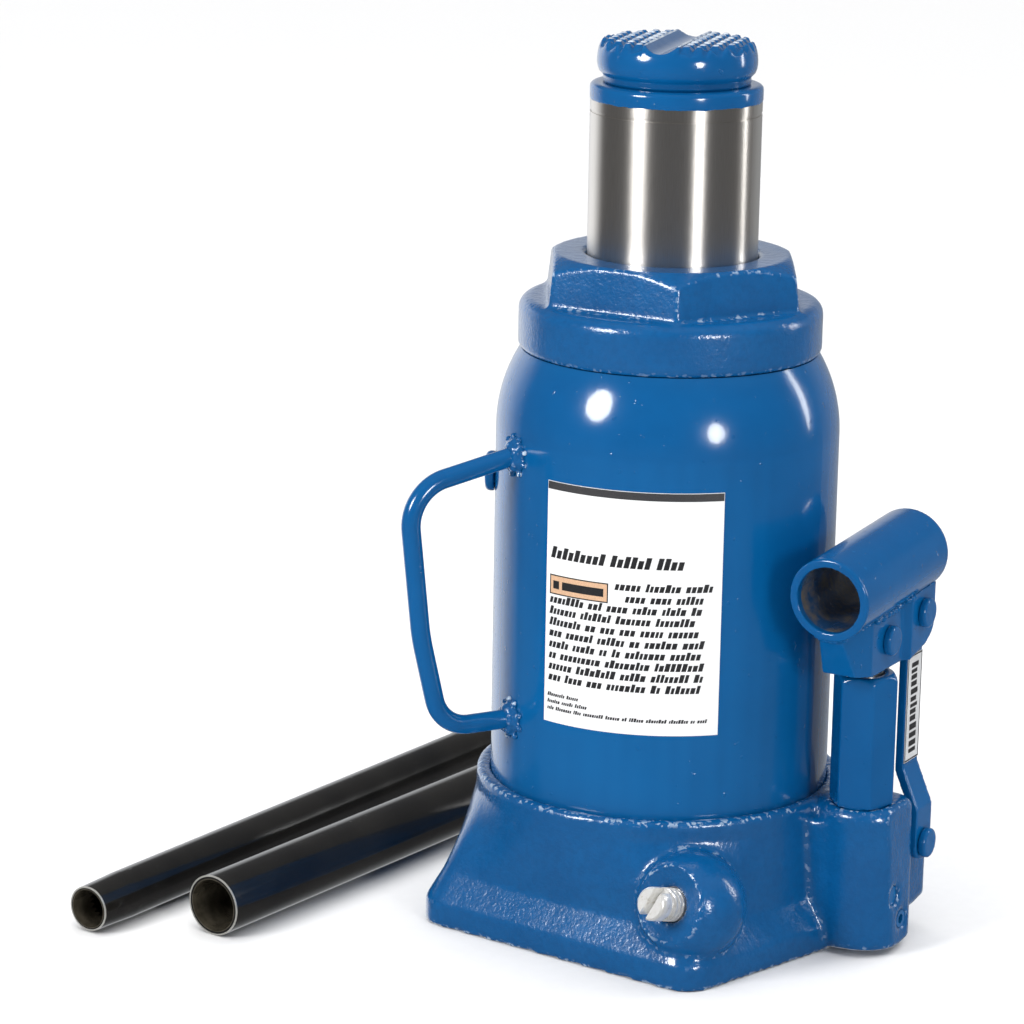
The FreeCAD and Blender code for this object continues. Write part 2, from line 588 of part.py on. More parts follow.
def make_filler_plug():
    out = radial(PLUG_AZIMUTH)
    shank = rod(PLUG_SHANK_R, out * (TANK_R - TANK_WALL - 2.5) + Z * PLUG_Z, out, 9)
    head = rod(6.8, out * (TANK_R + 0.15) + Z * PLUG_Z, out, 3.2)
    head = rounded(head, 1.6, lambda edge: edge.Length > 30 and edge.CenterOfMass.dot(out) > TANK_R + 2)
    return shank.fuse(head)


def tube_frame(tube):
    return vec(tube["start"][0], tube["start"][1], tube["r"]), radial(tube["azimuth"])


def make_plain_tube():
    start, along = tube_frame(PLAIN_TUBE)
    radius = PLAIN_TUBE["r"]
    bore = rod(radius - PLAIN_TUBE["wall"], start - along, along, TUBE_LENGTH + 2)
    return rod(radius, start, along, TUBE_LENGTH).cut(bore)


def make_nosed_tube():
    """Thinner tube with a slightly drawn-in nose, which pushes into the plain tube."""
    start, along = tube_frame(NOSED_TUBE)
    radius, nose_r, nose = NOSED_TUBE["r"], NOSED_TUBE["nose_r"], NOSED_TUBE["nose"]
    wall = NOSED_TUBE["wall"]
    shape = Part.makeCone(nose_r, radius, nose, start, along)
    shape = shape.fuse(rod(radius, start + along * nose, along, TUBE_LENGTH - nose))
    bore = Part.makeCone(nose_r - wall, radius - wall, nose, start, along)
    bore = bore.fuse(rod(radius - wall, start + along * nose, along, TUBE_LENGTH - nose + 1))
    return shape.cut(bore)


def make_tank_label():
    outer, inner = TANK_R + LABEL_THICK, TANK_R
    start, end = LABEL_AZIMUTHS
    low, high = LABEL_Z
    return lathe([(inner, low), (outer, low), (outer, high), (inner, high)], end - start, start)


def main():
    os.makedirs("parts", exist_ok=True)
    # standing on the floor
    save("base", make_base())
    save("tank", make_tank())
    save("hydraulic_cylinder", make_cylinder())
    save("top_nut", make_top_nut())
    save("cylinder_gasket", ring(CYLINDER_R, CYLINDER_BORE_R, CYLINDER_SEAT_Z, CYLINDER_SEAT_Z + GASKET_H))
    save("tank_seal", ring(TANK_R, TANK_R - TANK_WALL, TANK_LOW_Z - 2, TANK_LOW_Z))
    inner_top = shoulder_radius(TANK_TOP_Z, TANK_R - TANK_WALL)
    save("top_nut_o_ring", ring(inner_top, inner_top - 3, TANK_TOP_Z - 3, TANK_TOP_Z))
    save("ram_wiper", ring(WIPER_R, RAM_R + FIT, WIPER_Z, WIPER_Z + WIPER_H))
    save("carry_handle", make_carry_handle())
    save("carry_handle_welds", *make_handle_welds())
    save("filler_plug", make_filler_plug())
    save("tank_label", make_tank_label())

    # ram and extension screw
    save("ram", make_ram())
    low = RAM_LOW_Z
    save("piston_guide_ring", ring(CYLINDER_BORE_R - FIT, STUB_R, low - 4, low))
    save("piston_cup_seal", ring(CYLINDER_BORE_R - FIT, STUB_R, low - 9, low - 4))
    save("piston_washer", ring(CYLINDER_BORE_R - 2, STUB_R, low - 10.5, low - 9))
    piston_nut = hexagon(18, low - PISTON_H, low - 10.5).cut(cylinder(STUB_R, low - 20, low))
    save("piston_nut", piston_nut)
    screw_low = RAM_TOP_Z - SCREW_LENGTH
    save("extension_screw", make_saddle_screw())
    save("screw_stop_ring", ring(SCREW_R, STUB_R + FIT, screw_low - STOP_RING_H, screw_low - FIT))

    # pump
    save("pump_cylinder", make_pump_cylinder())
    save("pump_washer", ring(9, 3, 28, 29.5, PUMP_X))
    save("pump_packing", ring(PACKING_R, PLUNGER_R + FIT, PACKING_Z, PACKING_Z + 5, PUMP_X))
    save("pump_plunger", make_plunger())
    seal_z = PLUNGER_LOW_Z + 3
    save("plunger_seal", ring(PLUNGER_R, PLUNGER_R - 1.5, seal_z, seal_z + 3, PUMP_X))
    save("suction_ball", Part.makeSphere(2.2, vec(PUMP_X, 0, 31.9)))
    save("suction_spring", spring(1.9, 0.35, 34.2, 44, 6, PUMP_X))
    save("check_valve_plug", rod(CHECK_PLUG_R, vec(BLOCK_FLAT_X - 8, 0, CHECK_Z), X, 6))
    save("check_valve_ball", Part.makeSphere(2.4, vec(PUMP_X + 3.6, 0, CHECK_Z)))
    key_hole = hexagon(1.8, 0, 4)
    key_at = vec(BLOCK_FLAT_X - 3.6, RELIEF_Y, RELIEF_Z)
    key_hole.Placement = FreeCAD.Placement(key_at, FreeCAD.Rotation(Z, X))
    relief = rod(RELIEF_R, vec(BLOCK_FLAT_X - 8.5, RELIEF_Y, RELIEF_Z), X, 7.6)
    save("relief_screw", relief.cut(key_hole))

    # linkage
    middle, opening = socket_frame()
    save("handle_socket", make_socket())
    save("socket_bracket", make_bracket())
    save("socket_welds", *make_socket_welds())
    save("plunger_pin", headed_pin(PIN_R, 0, PLUNGER_PIN_Z, BRACKET_HALF))
    save("link_pin_upper", headed_pin(TOP_PIN_R, LINK_Y, LINK_TOP_PIN_Z, BRACKET_REAR_HALF))
    save("link_plates", *make_links())
    link_out = LINK_IN_LOW + LINK_THICK + 0.2
    save("link_pin_lower", headed_pin(PIN_R, LINK_Y, LINK_LOW_PIN_Z, link_out))
    face_x = PUMP_X + LINK_IN_TOP + LINK_THICK
    save("serial_label", box(face_x, face_x + LABEL_THICK, LINK_Y - 5.6, LINK_Y + 5.6, *SERIAL_Z))

    # release valve
    save("release_valve", make_release_valve())
    o_ring = ring(VALVE_R, VALVE_R - 1.6, O_RING_AT, O_RING_AT + 2.6)
    save("release_valve_o_ring", place_on_valve(o_ring))
    ball = Part.makeSphere(2.6, vec(0, 0, -VALVE_IN - 2.6))
    save("release_valve_ball", place_on_valve(ball))

    # pumping handle, in two halves
    save("handle_tube_plain", make_plain_tube())
    save("handle_tube_nosed", make_nosed_tube())
    print("socket middle", middle, "opens towards", opening)
    print("valve axis", valve_axis())


main()
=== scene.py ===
"""Looks of the hydraulic bottle jack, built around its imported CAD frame. Z is up, +X is towards the pump."""
import math
import random

import bmesh
import bpy
from mathutils import Matrix, Quaternion, Vector, noise


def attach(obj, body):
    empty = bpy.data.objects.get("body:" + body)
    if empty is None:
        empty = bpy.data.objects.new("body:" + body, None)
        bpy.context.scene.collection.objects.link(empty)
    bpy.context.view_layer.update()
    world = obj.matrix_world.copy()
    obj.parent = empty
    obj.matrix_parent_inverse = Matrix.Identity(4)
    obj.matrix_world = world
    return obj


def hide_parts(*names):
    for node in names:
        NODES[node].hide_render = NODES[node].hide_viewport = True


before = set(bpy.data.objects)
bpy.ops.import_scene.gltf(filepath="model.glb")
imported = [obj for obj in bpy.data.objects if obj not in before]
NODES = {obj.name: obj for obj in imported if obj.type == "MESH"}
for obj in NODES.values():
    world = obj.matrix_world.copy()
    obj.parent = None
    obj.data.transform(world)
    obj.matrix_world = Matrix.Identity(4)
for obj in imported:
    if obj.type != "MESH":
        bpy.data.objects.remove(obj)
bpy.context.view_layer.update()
MM = 0.001

# sizes repeated from the CAD, in millimetres and degrees
PUMP_X = 75.9
TANK_R = 57.15
RAM_R = 28.15
SADDLE_TOP = 298.0
CHANNEL_AZIMUTH = 104.0
HANDLE_AZIMUTH = -122.0
VALVE_MOUTH = Vector((39.8, -65.6, 27.5))
VALVE_AXIS = Vector((-0.199858, -0.940256, 0.275637))
SOCKET_MIDDLE = Vector((PUMP_X, 0.2, 128.65))
SOCKET_OPENS = Vector((0.0, -0.998135, -0.061049))
SOCKET_RISE = 0.0612        # of its axis, for each unit of y
SOCKET_LIP_Y = -28.5        # the paint reaches this far into its bore
SOCKET_R = 13.8
SOCKET_BORE_R = 11.0
LABEL_AZIMUTHS = (-103.8, -43.1)
LABEL_Z = (78.2, 159.2)
SERIAL_TOP_Z = 97.5
SERIAL_FRONT_Y = 22.5 - 5.6
LINK_FACE_X = PUMP_X + 7.3
# of each tube: its start on the floor, azimuth, radius, radius at its start, wall
PLAIN_TUBE = ((-109.7, -107.5), 84.2, 10.4, 10.4, 1.5)
NOSED_TUBE = ((-146.2, -127.8), 85.5, 8.2, 7.7, 1.2)

UP = Vector((0, 0, 1))


def radial(azimuth):
    angle = math.radians(azimuth)
    return Vector((math.cos(angle), math.sin(angle), 0))


# ---------------------------------------------------------------- node helpers
class Tree:
    """A short way to build a material's node tree."""

    def __init__(self, owner):
        owner.use_nodes = True
        self.tree = owner.node_tree
        self.tree.nodes.clear()

    def node(self, kind, **settings):
        made = self.tree.nodes.new(kind)
        for name, value in settings.items():
            setattr(made, name, value)
        return made

    def link(self, source, target):
        self.tree.links.new(source, target)

    def position(self):
        return self.node("ShaderNodeTexCoord").outputs["Object"]

    def noise(self, scale, detail=3.0, roughness=0.5, vector=None, distortion=0.0):
        made = self.node("ShaderNodeTexNoise")
        made.inputs["Scale"].default_value = scale
        made.inputs["Detail"].default_value = detail
        made.inputs["Roughness"].default_value = roughness
        made.inputs["Distortion"].default_value = distortion
        self.link(vector or self.position(), made.inputs["Vector"])
        return made.outputs["Fac"]

    def ramp(self, fac, stops):
        made = self.node("ShaderNodeValToRGB")
        elements = made.color_ramp.elements
        for _ in range(len(stops) - 2):
            elements.new(0.5)
        for element, (at, colour) in zip(elements, stops):
            element.position = at
            element.color = colour if len(colour) == 4 else (*colour, 1)
        self.link(fac, made.inputs["Fac"])
        return made.outputs["Color"]

    def math(self, operation, a, b=None, clamp=False):
        made = self.node("ShaderNodeMath", operation=operation, use_clamp=clamp)
        for socket, value in zip(made.inputs, (a, b)):
            if isinstance(value, (int, float)):
                socket.default_value = value
            elif value is not None:
                self.link(value, socket)
        return made.outputs[0]

    def distance(self, a, b):
        squares = self.math("ADD", self.math("MULTIPLY", a, a), self.math("MULTIPLY", b, b))
        return self.math("SQRT", squares)

    def scaled(self, factors, vector=None):
        made = self.node("ShaderNodeVectorMath", operation="MULTIPLY")
        self.link(vector or self.position(), made.inputs[0])
        made.inputs[1].default_value = factors
        return made.outputs[0]

    def xyz(self, vector=None):
        made = self.node("ShaderNodeSeparateXYZ")
        self.link(vector or self.position(), made.inputs[0])
        return made.outputs

    def mix(self, fac, a, b):
        made = self.node("ShaderNodeMix", data_type="RGBA")
        self.link(fac, made.inputs["Factor"])
        for socket, value in ((made.inputs["A"], a), (made.inputs["B"], b)):
            if isinstance(value, tuple):
                socket.default_value = (*value, 1)
            else:
                self.link(value, socket)
        return made.outputs["Result"]

    def bump(self, height, strength, distance, normal=None):
        made = self.node("ShaderNodeBump")
        made.inputs["Strength"].default_value = strength
        made.inputs["Distance"].default_value = distance
        self.link(height, made.inputs["Height"])
        if normal:
            self.link(normal, made.inputs["Normal"])
        return made.outputs["Normal"]


def material(name, build, **values):
    """A material whose principled shader has constant values, then whatever build links to it."""
    made = bpy.data.materials.new(name)
    tree = Tree(made)
    shader = tree.node("ShaderNodeBsdfPrincipled")
    for socket, value in values.items():
        shader.inputs[socket.replace("_", " ")].default_value = value
    tree.link(shader.outputs[0], tree.node("ShaderNodeOutputMaterial").inputs[0])
    build(tree, shader)
    return made


def spread(tree, fac, low, high):
    """Maps a 0 to 1 value onto low to high."""
    return tree.math("ADD", tree.math("MULTIPLY", fac, high - low), low)


# ---------------------------------------------------------------- materials
BLUE = (0.0009, 0.090, 0.268)
BLUE_DEEP = (0.0007, 0.074, 0.228)
BLUE_THIN = (0.003, 0.112, 0.315)
# darker blue of the casting's mottle, painted as the shade of small bumps
BLUE_SHADE = (0.0006, 0.066, 0.208)
# pale blue of the specks painted as highlights along the casting's edges and creases
PAINTED_GLINT = (0.50, 0.62, 0.74)
# pale grey of the tooth tops: wear and painted highlight
RUBBED_AND_HIGHLIT = (0.66, 0.72, 0.78)
BARE_EDGE = (0.60, 0.59, 0.55)
BRIGHT_TOPS_ABOVE = 0.2974         # the saddle's teeth are painted pale above this height, as wear and as painted highlight, in metres


def blue_colour(tree, fine):
    """Paint that is a little deeper in patches and thinner on proud edges."""
    patches = tree.noise(fine, 4, 0.6)
    colour = tree.mix(tree.ramp(patches, [(0.35, (0, 0, 0)), (0.7, (1, 1, 1))]), BLUE_DEEP, BLUE)
    edge = tree.node("ShaderNodeNewGeometry").outputs["Pointiness"]
    proud = tree.ramp(edge, [(0.52, (0, 0, 0)), (0.60, (1, 1, 1))])
    return tree.mix(tree.math("MULTIPLY", proud, 0.5), colour, BLUE_THIN)


def casting_paint(tree, shader):
    """Thick paint over a sand casting: pitted, with a fine darker mottle painted as the shade of small bumps,
    and pale specks painted along its edges and creases as highlights.
    """
    # painted shade: a fine random mottle darkens the paint in place of the shading of small casting bumps
    bump_shade_mottle = tree.ramp(tree.noise(420, 3, 0.6), [(0.36, (1, 1, 1)), (0.56, (0, 0, 0))])
    painted = tree.mix(tree.math("MULTIPLY", bump_shade_mottle, 0.5), blue_colour(tree, 45), BLUE_SHADE)
    # painted highlight: pale specks along convex edges and concave creases, where light would glint
    pointed = tree.node("ShaderNodeNewGeometry").outputs["Pointiness"]
    turn = tree.math("ABSOLUTE", tree.math("SUBTRACT", pointed, 0.5))
    edges = tree.ramp(turn, [(0.018, (0, 0, 0)), (0.050, (1, 1, 1))])
    spots = tree.ramp(tree.noise(520, 2, 0.5), [(0.54, (0, 0, 0)), (0.60, (1, 1, 1))])
    edge_glints = tree.math("MULTIPLY", edges, spots)
    tree.link(tree.mix(edge_glints, painted, PAINTED_GLINT), shader.inputs["Base Color"])
    grain = tree.noise(900, 2, 0.5)
    pits = tree.ramp(grain, [(0.30, (0, 0, 0)), (0.62, (1, 1, 1))])
    waves = tree.noise(260, 3, 0.55)
    rough = spread(tree, tree.noise(60, 3), 0.16, 0.30)
    tree.link(rough, shader.inputs["Roughness"])
    low = tree.bump(waves, 0.26, 0.0004)
    tree.link(tree.bump(pits, 0.24, 0.00018, low), shader.inputs["Normal"])
    tree.link(tree.bump(pits, 0.17, 0.00018, low), shader.inputs["Coat Normal"])


def smooth_paint(tree, shader):
    """Sprayed paint on sheet and tube: faint runs and orange peel, with a few nibs of dust."""
    tree.link(blue_colour(tree, 22), shader.inputs["Base Color"])
    tree.link(spread(tree, tree.noise(30, 3), 0.10, 0.20), shader.inputs["Roughness"])
    peel = tree.noise(330, 2, 0.4)
    runs = tree.noise(1, 3, 0.5, tree.scaled((60, 60, 14)))
    dust = tree.ramp(tree.noise(420, 1, 0.5), [(0.72, (0, 0, 0)), (0.80, (1, 1, 1))])
    low = tree.bump(runs, 0.35, 0.0005)
    middle = tree.bump(peel, 0.10, 0.0002, low)
    tree.link(tree.bump(dust, 0.5, 0.0003, middle), shader.inputs["Normal"])


def saddle_paint(tree, shader):
    """Smooth paint, painted pale on the tops of the gripping teeth: partly wear, partly painted highlight."""
    smooth_paint(tree, shader)
    painted = shader.inputs["Base Color"].links[0].from_socket
    # wear and painted highlight: the flat tooth tops are made pale so they read as bright streaks
    high = tree.math("GREATER_THAN", tree.xyz()[2], BRIGHT_TOPS_ABOVE)
    rubbed = tree.ramp(tree.noise(300, 3), [(0.35, (0.3, 0.3, 0.3)), (0.6, (0.9, 0.9, 0.9))])
    worn = tree.math("MULTIPLY", high, rubbed)
    tree.link(tree.mix(worn, painted, RUBBED_AND_HIGHLIT), shader.inputs["Base Color"])


def socket_paint(tree, shader):
    """Smooth paint outside; deep inside the tube only thin overspray on dull steel."""
    smooth_paint(tree, shader)
    outside = shader.inputs["Base Color"].links[0].from_socket
    x, y, z = tree.xyz()
    dx = tree.math("SUBTRACT", x, SOCKET_MIDDLE.x * MM)
    rise = tree.math("MULTIPLY", tree.math("SUBTRACT", y, SOCKET_MIDDLE.y * MM), SOCKET_RISE)
    dz = tree.math("SUBTRACT", tree.math("SUBTRACT", z, SOCKET_MIDDLE.z * MM), rise)
    radius = tree.distance(dx, dz)
    inside = tree.math("LESS_THAN", radius, (SOCKET_BORE_R + 0.35) * MM)
    deep = tree.math("GREATER_THAN", y, SOCKET_LIP_Y * MM)
    inner = tree.math("MULTIPLY", inside, deep)
    patches = tree.noise(140, 5, 0.6)
    bare = tree.ramp(patches, [(0.42, (0.010, 0.055, 0.15)), (0.62, (0.12, 0.11, 0.10))])
    tree.link(tree.mix(inner, outside, bare), shader.inputs["Base Color"])


def ram_steel(tree, shader):
    """Ground steel: fine upright streaks and small specks."""
    x, y, z = tree.xyz()
    around = tree.math("ARCTAN2", y, x)
    combine = tree.node("ShaderNodeCombineXYZ")
    tree.link(tree.math("MULTIPLY", around, 60.0), combine.inputs[0])
    tree.link(tree.math("MULTIPLY", z, 40.0), combine.inputs[1])
    streaks = tree.noise(3.2, 5, 0.65, combine.outputs[0])
    specks = tree.noise(1600, 2, 0.6)
    colour = tree.ramp(streaks, [(0.25, (0.60, 0.57, 0.53)), (0.75, (0.76, 0.73, 0.69))])
    tree.link(colour, shader.inputs["Base Color"])
    tree.link(spread(tree, streaks, 0.26, 0.38), shader.inputs["Roughness"])
    low = tree.bump(streaks, 0.05, 0.0001)
    tree.link(tree.bump(specks, 0.18, 0.00006, low), shader.inputs["Normal"])
    tangent = tree.node("ShaderNodeTangent", direction_type="RADIAL", axis="Z")
    tree.link(tangent.outputs[0], shader.inputs["Tangent"])


def machined_steel(tree, shader):
    """Turned steel, with fine level tool marks."""
    turned = tree.noise(1, 4, 0.6, tree.scaled((90, 90, 1500)))
    colour = tree.ramp(turned, [(0.3, (0.33, 0.33, 0.34)), (0.7, (0.56, 0.55, 0.54))])
    tree.link(colour, shader.inputs["Base Color"])
    tree.link(spread(tree, turned, 0.25, 0.42), shader.inputs["Roughness"])
    tree.link(tree.bump(turned, 0.15, 0.0001), shader.inputs["Normal"])


def zinc_plate(tree, shader):
    """Pale plating, clouded and yellowed in small patches."""
    cloud = tree.noise(520, 4, 0.6)
    colour = tree.ramp(cloud, [(0.25, (0.60, 0.56, 0.48)), (0.40, (0.88, 0.87, 0.84)),
                               (0.7, (0.97, 0.97, 0.96))])
    tree.link(colour, shader.inputs["Base Color"])
    tree.link(spread(tree, cloud, 0.42, 0.26), shader.inputs["Roughness"])
    tree.link(tree.bump(tree.noise(1500, 3, 0.6), 0.25, 0.0001), shader.inputs["Normal"])


def bronze(tree, shader):
    """Turned bronze, with fine level tool marks."""
    turned = tree.noise(1, 4, 0.6, tree.scaled((120, 120, 1300)))
    colour = tree.ramp(turned, [(0.3, (0.36, 0.19, 0.08)), (0.7, (0.60, 0.36, 0.17))])
    tree.link(colour, shader.inputs["Base Color"])
    tree.link(spread(tree, turned, 0.28, 0.45), shader.inputs["Roughness"])


def seal_rubber(tree, shader):
    """Dull black rubber, a little dusty."""
    dust = tree.noise(260, 5, 0.6)
    colour = tree.ramp(dust, [(0.3, (0.010, 0.010, 0.011)), (0.8, (0.040, 0.040, 0.042))])
    tree.link(colour, shader.inputs["Base Color"])
    tree.link(spread(tree, dust, 0.55, 0.8), shader.inputs["Roughness"])
    tree.link(tree.bump(tree.noise(900, 3), 0.2, 0.0001), shader.inputs["Normal"])


def black_gloss(tree, shader):
    """Dipped gloss black on drawn tube: faint lengthwise draw lines and small dust nibs."""
    drawn = tree.noise(1, 3, 0.5, tree.scaled((700, 25, 700)))
    nibs = tree.ramp(tree.noise(520, 1, 0.5), [(0.74, (0, 0, 0)), (0.82, (1, 1, 1))])
    colour = tree.ramp(tree.noise(40, 4), [(0.3, (0.006, 0.006, 0.006)), (0.8, (0.016, 0.015, 0.013))])
    tree.link(colour, shader.inputs["Base Color"])
    tree.link(spread(tree, tree.noise(80, 3), 0.10, 0.22), shader.inputs["Roughness"])
    low = tree.bump(drawn, 0.12, 0.0002)
    tree.link(tree.bump(nibs, 0.4, 0.0002, low), shader.inputs["Normal"])


def cut_end(tree, shader, start, azimuth, radius, end_radius, wall):
    """Gloss black outside, brown primer in the bore, and a bright edge where the sawn end has worn."""
    black_gloss(tree, shader)
    dark = shader.inputs["Base Color"].links[0].from_socket
    x, y, z = tree.xyz()
    way = radial(azimuth)
    dx = tree.math("SUBTRACT", x, start[0] * MM)
    dy = tree.math("SUBTRACT", y, start[1] * MM)
    along = tree.math("ADD", tree.math("MULTIPLY", dx, way.x), tree.math("MULTIPLY", dy, way.y))
    aside = tree.math("ADD", tree.math("MULTIPLY", dx, -way.y), tree.math("MULTIPLY", dy, way.x))
    lift = tree.math("SUBTRACT", z, radius * MM)
    out = tree.distance(aside, lift)
    bore = tree.math("LESS_THAN", out, (end_radius - wall + 0.25) * MM)
    primer = tree.ramp(tree.noise(260, 4), [(0.3, (0.030, 0.026, 0.018)), (0.7, (0.075, 0.065, 0.048))])
    lined = tree.mix(bore, dark, primer)
    worn = spread(tree, tree.noise(500, 2), 0.0002, 0.0005)
    edge = tree.math("MULTIPLY", tree.math("LESS_THAN", along, worn),
                     tree.math("GREATER_THAN", out, (end_radius - 0.55) * MM))
    tree.link(tree.mix(edge, lined, BARE_EDGE), shader.inputs["Base Color"])
    tree.link(tree.math("MULTIPLY", edge, 0.6), shader.inputs["Metallic"])


def plain_tube_end(tree, shader):
    cut_end(tree, shader, *PLAIN_TUBE)


def nosed_tube_end(tree, shader):
    cut_end(tree, shader, *NOSED_TUBE)


def film(tree, shader):
    """White printed film, a little cooler in patches, with a faint ripple where it was rubbed down."""
    patches = tree.noise(50, 3)
    colour = tree.ramp(patches, [(0.3, (0.76, 0.77, 0.78)), (0.7, (0.82, 0.82, 0.82))])
    tree.link(colour, shader.inputs["Base Color"])
    tree.link(spread(tree, patches, 0.30, 0.42), shader.inputs["Roughness"])
    tree.link(tree.bump(tree.noise(90, 2), 0.12, 0.0003), shader.inputs["Normal"])


def serial_film(tree, shader):
    """Grey-white printed film."""
    patches = tree.noise(120, 3)
    colour = tree.ramp(patches, [(0.3, (0.50, 0.51, 0.52)), (0.7, (0.58, 0.59, 0.60))])
    tree.link(colour, shader.inputs["Base Color"])
    tree.link(spread(tree, patches, 0.35, 0.5), shader.inputs["Roughness"])


def ink(colour):
    """A builder of printing ink of this colour, with a fine speckle."""
    def build(tree, shader):
        speck = tree.noise(2500, 2)
        lighter = tuple(c * 1.25 + 0.01 for c in colour)
        tree.link(tree.ramp(speck, [(0.4, colour), (0.8, lighter)]), shader.inputs["Base Color"])
        tree.link(spread(tree, speck, 0.35, 0.5), shader.inputs["Roughness"])
    return build


def floor_paper(tree, shader):
    """Pale studio paper."""
    fibre = tree.noise(220, 5, 0.6)
    colour = tree.ramp(fibre, [(0.3, (0.82, 0.82, 0.82)), (0.7, (0.84, 0.84, 0.84))])
    tree.link(colour, shader.inputs["Base Color"])
    tree.link(tree.bump(fibre, 0.05, 0.0002), shader.inputs["Normal"])


CASTING = material("casting_paint", casting_paint, Coat_Weight=0.6, Coat_Roughness=0.05,
                   Specular_IOR_Level=0.5)
SMOOTH = material("smooth_paint", smooth_paint, Coat_Weight=0.35, Coat_Roughness=0.05,
                  Specular_IOR_Level=0.5)
SADDLE = material("worn_and_highlit_saddle_paint", saddle_paint, Coat_Weight=0.5, Coat_Roughness=0.05)
SOCKET = material("socket_paint", socket_paint, Coat_Weight=0.3, Coat_Roughness=0.06,
                  Specular_IOR_Level=0.5)
RAM = material("ram_steel", ram_steel, Metallic=1.0, Anisotropic=0.93, Anisotropic_Rotation=0.25)
MACHINED = material("machined_steel", machined_steel, Metallic=1.0)
ZINC = material("zinc_plate", zinc_plate, Metallic=0.6)
BRONZE = material("bronze", bronze, Metallic=1.0)
RUBBER = material("seal_rubber", seal_rubber, Specular_IOR_Level=0.3)
BLACK = material("plain_tube_black", plain_tube_end, Coat_Weight=0.4, Coat_Roughness=0.04)
BLACK_NOSED = material("nosed_tube_black", nosed_tube_end, Coat_Weight=0.4, Coat_Roughness=0.04)
FILM = material("label_film", film, Coat_Weight=0.15, Coat_Roughness=0.2)
SERIAL_FILM = material("serial_film", serial_film)
INK = material("label_ink", ink((0.012, 0.012, 0.014)))
INK_GREY = material("label_band", ink((0.035, 0.035, 0.038)))
INK_BLOCK = material("label_block", ink((0.58, 0.36, 0.22)))
PAPER = material("floor_paper", floor_paper, Roughness=0.75, Specular_IOR_Level=0.2)

NODE_MATERIALS = {
    CASTING: ["base", "top_nut"],
    SMOOTH: ["tank", "carry_handle", "carry_handle_welds", "pump_cylinder", "socket_bracket", "socket_welds",
             "link_plates", "plunger_pin", "link_pin_upper", "link_pin_lower", "extension_screw",
             "relief_screw", "check_valve_plug", "filler_plug"],
    SOCKET: ["handle_socket"],
    RAM: ["ram"],
    MACHINED: ["hydraulic_cylinder", "pump_plunger", "piston_washer", "piston_nut", "screw_stop_ring",
               "suction_ball", "check_valve_ball", "release_valve_ball", "suction_spring"],
    ZINC: ["release_valve"],
    BRONZE: ["piston_guide_ring", "cylinder_gasket", "pump_washer"],
    RUBBER: ["piston_cup_seal", "tank_seal", "top_nut_o_ring", "ram_wiper", "pump_packing", "plunger_seal",
             "release_valve_o_ring"],
    BLACK: ["handle_tube_plain"],
    BLACK_NOSED: ["handle_tube_nosed"],
    FILM: ["tank_label"],
    SERIAL_FILM: ["serial_label"],
}
for finish, names in NODE_MATERIALS.items():
    for name in names:
        mesh = NODES[name].data
        mesh.materials.clear()
        mesh.materials.append(finish)


# ---------------------------------------------------------------- mesh helpers
def add_piece(name, mesh_maker, body, finish, replaces=(), sharp=None):
    """Makes one piece from a bmesh drawn in millimetres; edges sharper than sharp degrees stay crisp."""
    mesh = bmesh.new()
    mesh_maker(mesh)
    bmesh.ops.scale(mesh, vec=(MM, MM, MM), verts=mesh.verts)
    bmesh.ops.recalc_face_normals(mesh, faces=mesh.faces)
    for face in mesh.faces:
        face.smooth = True
    if sharp is not None:
        for edge in mesh.edges:
            edge.smooth = edge.calc_face_angle(0) < math.radians(sharp)
    data = bpy.data.meshes.new(name)
    mesh.to_mesh(data)
    mesh.free()
    data.materials.append(finish)
    made = bpy.data.objects.new(name, data)
    bpy.context.scene.collection.objects.link(made)
    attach(made, body)
    if replaces:
        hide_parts(*replaces)
    return made


def soften(obj, voxel, rounds, ripple=0.0, ripple_size=2.5):
    """Rounds a piece as thick paint and casting do: an even mesh, smoothed, rippled. In millimetres."""
    weld = obj.modifiers.new("weld", "WELD")
    weld.merge_threshold = 1e-6
    remesh = obj.modifiers.new("remesh", "REMESH")
    remesh.mode = "VOXEL"
    remesh.voxel_size = voxel * MM
    remesh.use_smooth_shade = True
    smooth = obj.modifiers.new("smooth", "SMOOTH")
    smooth.factor = 0.5
    smooth.iterations = rounds
    if ripple:
        texture = bpy.data.textures.new(obj.name + "_ripple", "CLOUDS")
        texture.noise_scale = ripple_size * MM
        texture.noise_depth = 2
        displace = obj.modifiers.new("ripple", "DISPLACE")
        displace.texture = texture
        displace.texture_coords = "LOCAL"
        displace.strength = ripple * MM
        displace.mid_level = 0.5


def grid_surface(mesh, rows, closed_round=True):
    """Joins rows of points into quads; rows are rings when closed_round."""
    made = [[mesh.verts.new(p) for p in row] for row in rows]
    for low, high in zip(made, made[1:]):
        count = len(low)
        for i in range(count if closed_round else count - 1):
            j = (i + 1) % count
            mesh.faces.new((low[i], low[j], high[j], high[i]))
    return made


def ring_points(radius, z, count):
    step = 2 * math.pi / count
    return [Vector((radius * math.cos(i * step), radius * math.sin(i * step), z)) for i in range(count)]


def cap_ends(mesh, made):
    """Closes a surface of rings with a face at its last ring and one at its first."""
    mesh.faces.new(made[-1])
    mesh.faces.new(reversed(made[0]))


def smoothstep(low, high, value):
    t = min(1.0, max(0.0, (value - low) / (high - low)))
    return t * t * (3 - 2 * t)


def blobs(mesh, centres, radii):
    """Balls of weld metal, which a later remesh runs together."""
    for centre, radius in zip(centres, radii):
        place = Matrix.Translation(centre)
        bmesh.ops.create_icosphere(mesh, subdivisions=2, radius=radius, matrix=place)


